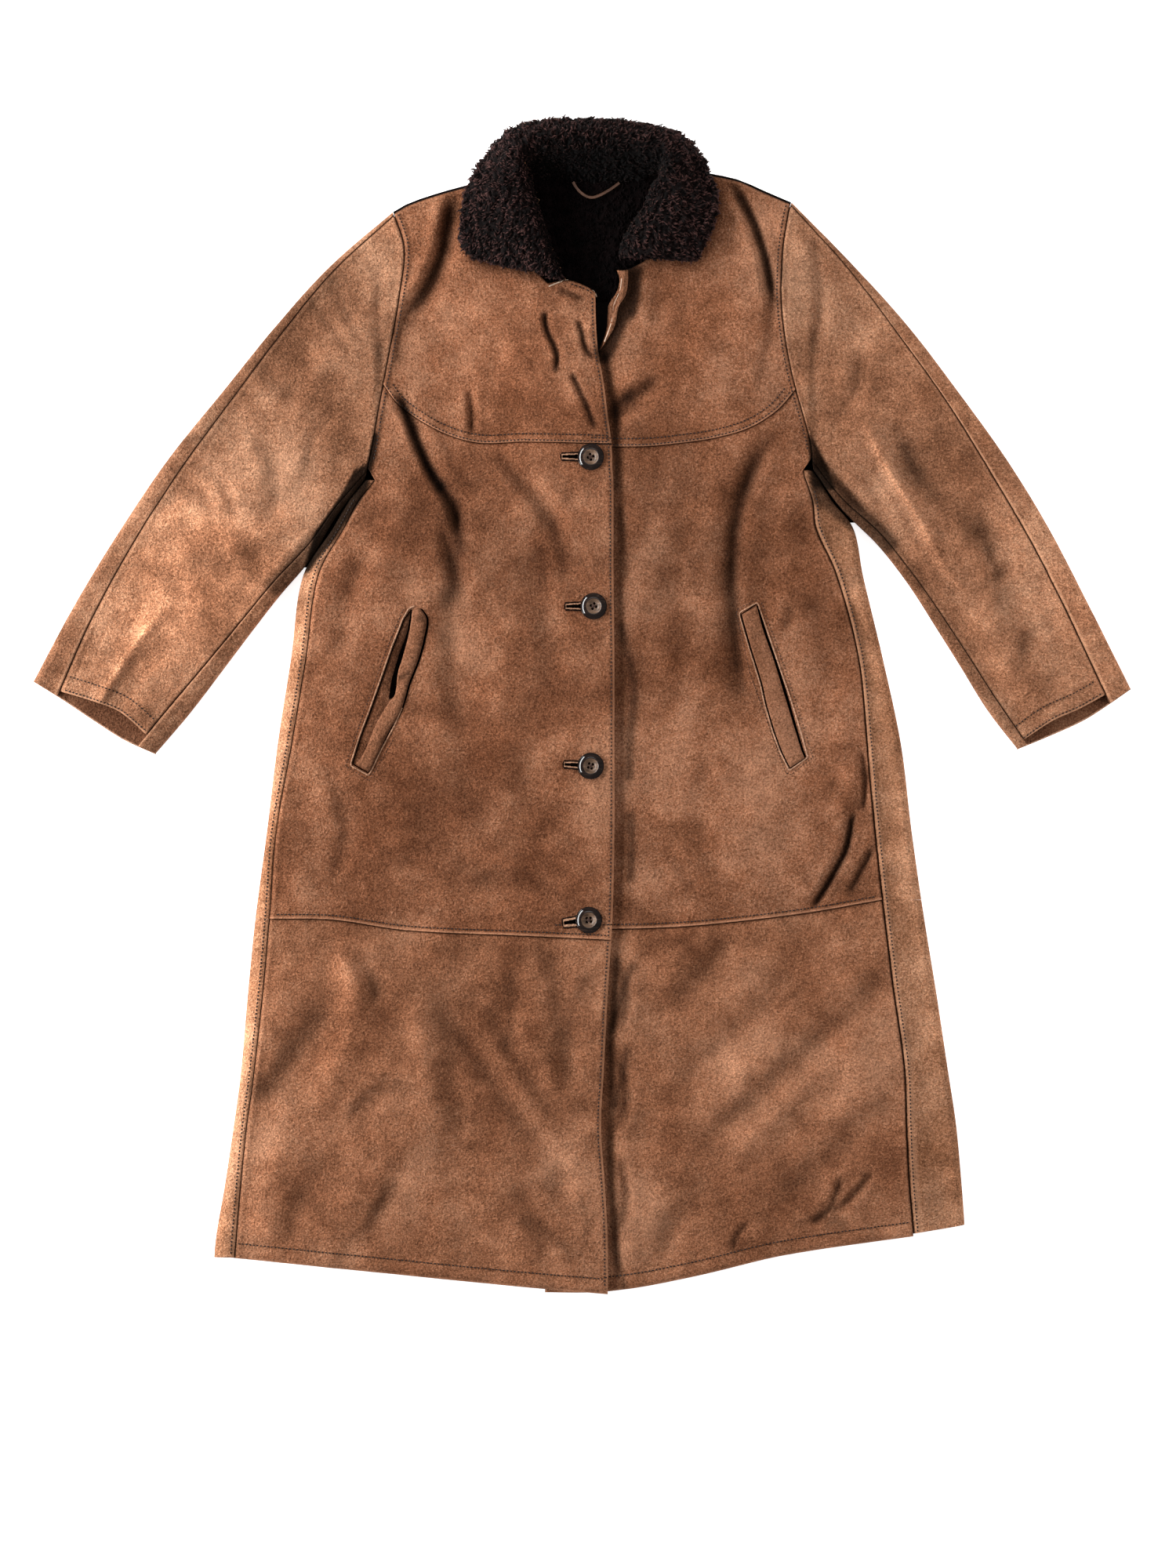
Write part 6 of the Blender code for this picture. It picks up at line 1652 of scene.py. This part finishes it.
def collar_wool():
    """The collar's fleece with its locks, on a fine copy of the solid."""
    points, faces = remeshed("collar", 1.45)
    normals, _ = normals_of(points, faces)
    fluffy = np.clip((normals[:, 2] + 0.35) / 0.5, 0, 1)
    relief = fleece_relief(points, 6.0, 4.0, 4.2, 3.1)
    points = points + normals * (relief * (0.25 + 0.75 * fluffy))[:, None]
    points[:, 2] = np.maximum(points[:, 2], 0.15)
    normals, quads = surface = normals_of(points, faces)
    skin = normals[quads[:, 0], 2] < -0.3
    collar = mesh_piece("collar_fleece", points, faces, [FLEECE, LIT_BACK_SUEDE], skin.astype(int), smooth=180,
                        tones=inner_shade(points))
    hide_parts("collar")
    tufts("collar_locks", points, surface, 6600, 5, 5.6, ray_flow, -0.05, LOCK_FLEECE, inner_shade)


def neck_wool():
    """The back's own fleece, seen through the open neck, in a darker copy of the wool as painted shade."""
    x, y = np.meshgrid(np.arange(-84, 108, 2.2), np.arange(424, 572, 2.2))
    z = BACK_WALL + 0.8 + 1.6 * ease((y - 424) / 8) + 0.9 * noise(x, y, 14, 31)
    base = x.size
    points = doubled(np.dstack([x, y]), z, np.full(x.shape, BACK_WALL - 0.8))
    flat = points[:base]
    flat[:, 2] += 0.6 * fleece_relief(flat, 4.2, 2.8, 1.8, 8.2)
    edge = neck_mask(x, y)      # points inside; a cell needs all four
    whole = edge[:-1, :-1] & edge[1:, 1:] & edge[:-1, 1:] & edge[1:, :-1]
    upper, lower, sides = closed(*x.shape, base, whole)
    neck = mesh_piece("neck_fleece", points, np.vstack([upper, lower, sides]), [SHADED_NECK_FLEECE], smooth=180)
    tufts("neck_locks", flat, normals_of(flat, upper), 900, 6, 3.6, lambda spot: np.array([0.15, -1, 0]), 0,
          SHADED_NECK_FLEECE)


def neck_mask(x, y):
    """Inside of the neckline, between its two sides and below the back's seam."""
    back = Line(BACK_NECKLINE).p
    top_y = np.interp(x, back[:, 0], back[:, 1]) + 8.0
    right = Line(NECKLINE["right"]).p[::-1]
    left = Line(NECKLINE["left"]).p
    low_x = np.interp(y, right[:, 1], right[:, 0], left=-30) + 1.0
    high_x = np.interp(y, left[:, 1], left[:, 0], left=40) - 1.0
    return (y < top_y) & (x > low_x) & (x < high_x)


STRAP = [(-1.3, 0.0), (-1.45, 0.45), (-1.0, 0.95), (-0.3, 0.75), (0.3, 0.75), (1.0, 0.95), (1.45, 0.45),
         (1.3, 0.0), (0.6, -0.2), (-0.6, -0.2)]
STRAP_RINGS = 61


def hanger():
    """Thin leather strap, folded over itself, sagging from the back neck seam."""
    line = Line([(-9.5, 549), (-6, 543), (-1.5, 538), (3.5, 534.4), (8, 532.8), (13, 533), (20, 535.6),
                 (30, 541.4), (39, 548)])
    points = []
    for u in np.linspace(0, 1, STRAP_RINGS):
        x, y = line.at(u)
        ahead = line.at(min(u + 0.01, 1)) - line.at(max(u - 0.01, 0))
        ahead /= np.linalg.norm(ahead)
        z = 12.6 + 1.8 * math.sin(math.pi * u)
        points += [(x - ahead[1] * across, y + ahead[0] * across, z + up) for across, up in STRAP]
    made = mesh_piece("hanger_strap", points, tube(0, STRAP_RINGS, len(STRAP)), [LOOP_LEATHER], smooth=50)
    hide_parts("hanger_loop")


def neck_edges():
    """The turned edges at the open neck and the raw ones at the cuffs, these in a lighter suede as a painted
    highlight.
    """
    outer = Line([(48.0, 456.3), (48.0, 444.8), (45.5, 430.1), (38.1, 417.8), (35.7, 404.7), (32.4, 394.0),
                  (19.3, 373.5)])
    inner = Line([(34.9, 458.0), (38.9, 444.0), (27.5, 420.2), (26.6, 411.2), (25.0, 394.0), (17.6, 372.7)])
    band("under_front_turn", inner, outer, crown(1.6, 1.8, 0.2), PALE_SUEDE, step=1.5)
    under = [(41.4, 448.1), (39.8, 435.8), (33.2, 420.2), (30.7, 401.4), (23.4, 381.7)]
    cord_line("under_front_edge", under, 0.6, CREAM, lift=2.9)
    over = [(-34.9, 439.1), (-25.0, 443.2), (-12.7, 446.5), (-1.2, 442.4), (11.9, 435.0), (16.0, 426.8)]
    cord_line("over_front_edge", over, 0.7, CREAM, lift=0.4)
    for side in CUFF_UNDER:
        cord_line("cuff_edge_" + side, CUFF_UNDER[side], 0.9, LIT_LIP_SUEDE, level_at=BACK_WALL - 0.4)


CROTCH = {"right": 146, "left": 193}


LAP_SECTION = ((-5, 1.0), (-4, 6.2), (0, 6.8), (4, 6.2), (5, 1.0))
PAD_RINGS = ((0.4, 15.0), (8.4, 15.0), (10.5, 9.0))         # height and radius
TAPE_SECTION = ((-3, 8.6), (3, 8.6), (3, 8.9), (-3, 8.9))


def underarms():
    """Painted shadow: near-black sheets in the fold between sleeve and body, a pad at its end and a tape
    under the armhole seam.
    """
    for side, sense in (("right", 1), ("left", -1)):
        run = SIDE[side].climb(CROTCH[side], UNDERARM[side] - 2, 40)
        seam = SIDE[side].climb(UNDERARM[side], SHOULDER_TOP[side] - 5, 50)
        px, py = run[-1] + (sense * 5, 6)
        points = [(x + sense * reach, y, z) for x, y in run for reach, z in LAP_SECTION]
        faces = tube(0, len(run), len(LAP_SECTION)) + tube(len(points), len(PAD_RINGS), 12)
        points += [(px + radius * c, py + radius * s, z) for z, radius in PAD_RINGS for c, s in circle(12)]
        faces += tube(len(points), len(seam), len(TAPE_SECTION))
        points += [(x + reach, y, z) for x, y in seam for reach, z in TAPE_SECTION]
        made = mesh_piece("underarm_shade_" + side, points, faces, [SHADOW_BLACK])


underarms()
stitching()
buttons()
buttonholes()
pockets()
collar_wool()
neck_wool()
hanger()
neck_edges()


# ---- floor, light and camera ------------------------------------------------------------------------
FLOOR_REACH = 6.0      # metres


def stage():
    """White floor just under the coat."""
    floor = bpy.data.meshes.new("floor")
    corners = [(x * FLOOR_REACH, y * FLOOR_REACH, 0) for x, y in ((-1, -1), (1, -1), (1, 1), (-1, 1))]
    floor.from_pydata(corners, [], [(0, 1, 2, 3)])
    n = Nodes("floor_white")
    floor.materials.append(n.finish(n.ramp(n.noise(3, 2), (0.3, 0.86), (0.7, 0.90)), Roughness=0.9,
                                    Emission_Color=(1, 1, 1, 1), Emission_Strength=0.8))
    made = bpy.data.objects.new("floor", floor)
    made.location.z = -0.0006
    bpy.context.collection.objects.link(made)


def light(name, spot, aim, size, power, shine=True):
    """Area lamp at a spot, turned to its aim; without shine it isn't seen in gloss."""
    data = bpy.data.lights.new(name, "AREA")
    data.shape = "RECTANGLE"
    data.size, data.size_y = size
    data.energy = power
    made = bpy.data.objects.new(name, data)
    made.location = spot
    made.visible_glossy = shine
    made.rotation_euler = (Vector(aim) - Vector(spot)).to_track_quat("-Z", "Y").to_euler()
    bpy.context.collection.objects.link(made)


def camera():
    """Straight above, with a long lens: the frame's height takes in 1.64 m of the floor."""
    height, seen = 7.0, 1.64
    data = bpy.data.cameras.new("camera")
    data.sensor_fit = "VERTICAL"
    data.sensor_height = 36
    data.lens = 36 * height / seen
    data.clip_end = 50
    made = bpy.data.objects.new("camera", data)
    made.location = (0.00615, -0.0808, height + 0.014)
    bpy.context.collection.objects.link(made)
    bpy.context.scene.camera = made


stage()
light("left_box", (-2.1, 0.35, 1.05), (-0.1, 0, 0), (4.2, 0.55), 140)
light("right_box", (1.75, 0.3, 0.85), (0.2, 0, 0), (2.4, 1.3), 32, shine=False)
light("top_fill", (0, 1.2, 3.2), (0, 0, 0), (1.4, 1.4), 10)
world = bpy.data.worlds.new("room")
world.use_nodes = True
world.node_tree.nodes["Background"].inputs["Color"].default_value = (1, 1, 1, 1)
world.node_tree.nodes["Background"].inputs["Strength"].default_value = 0.15
bpy.context.scene.world = world
bpy.context.scene.view_settings.view_transform = "Standard"
camera()
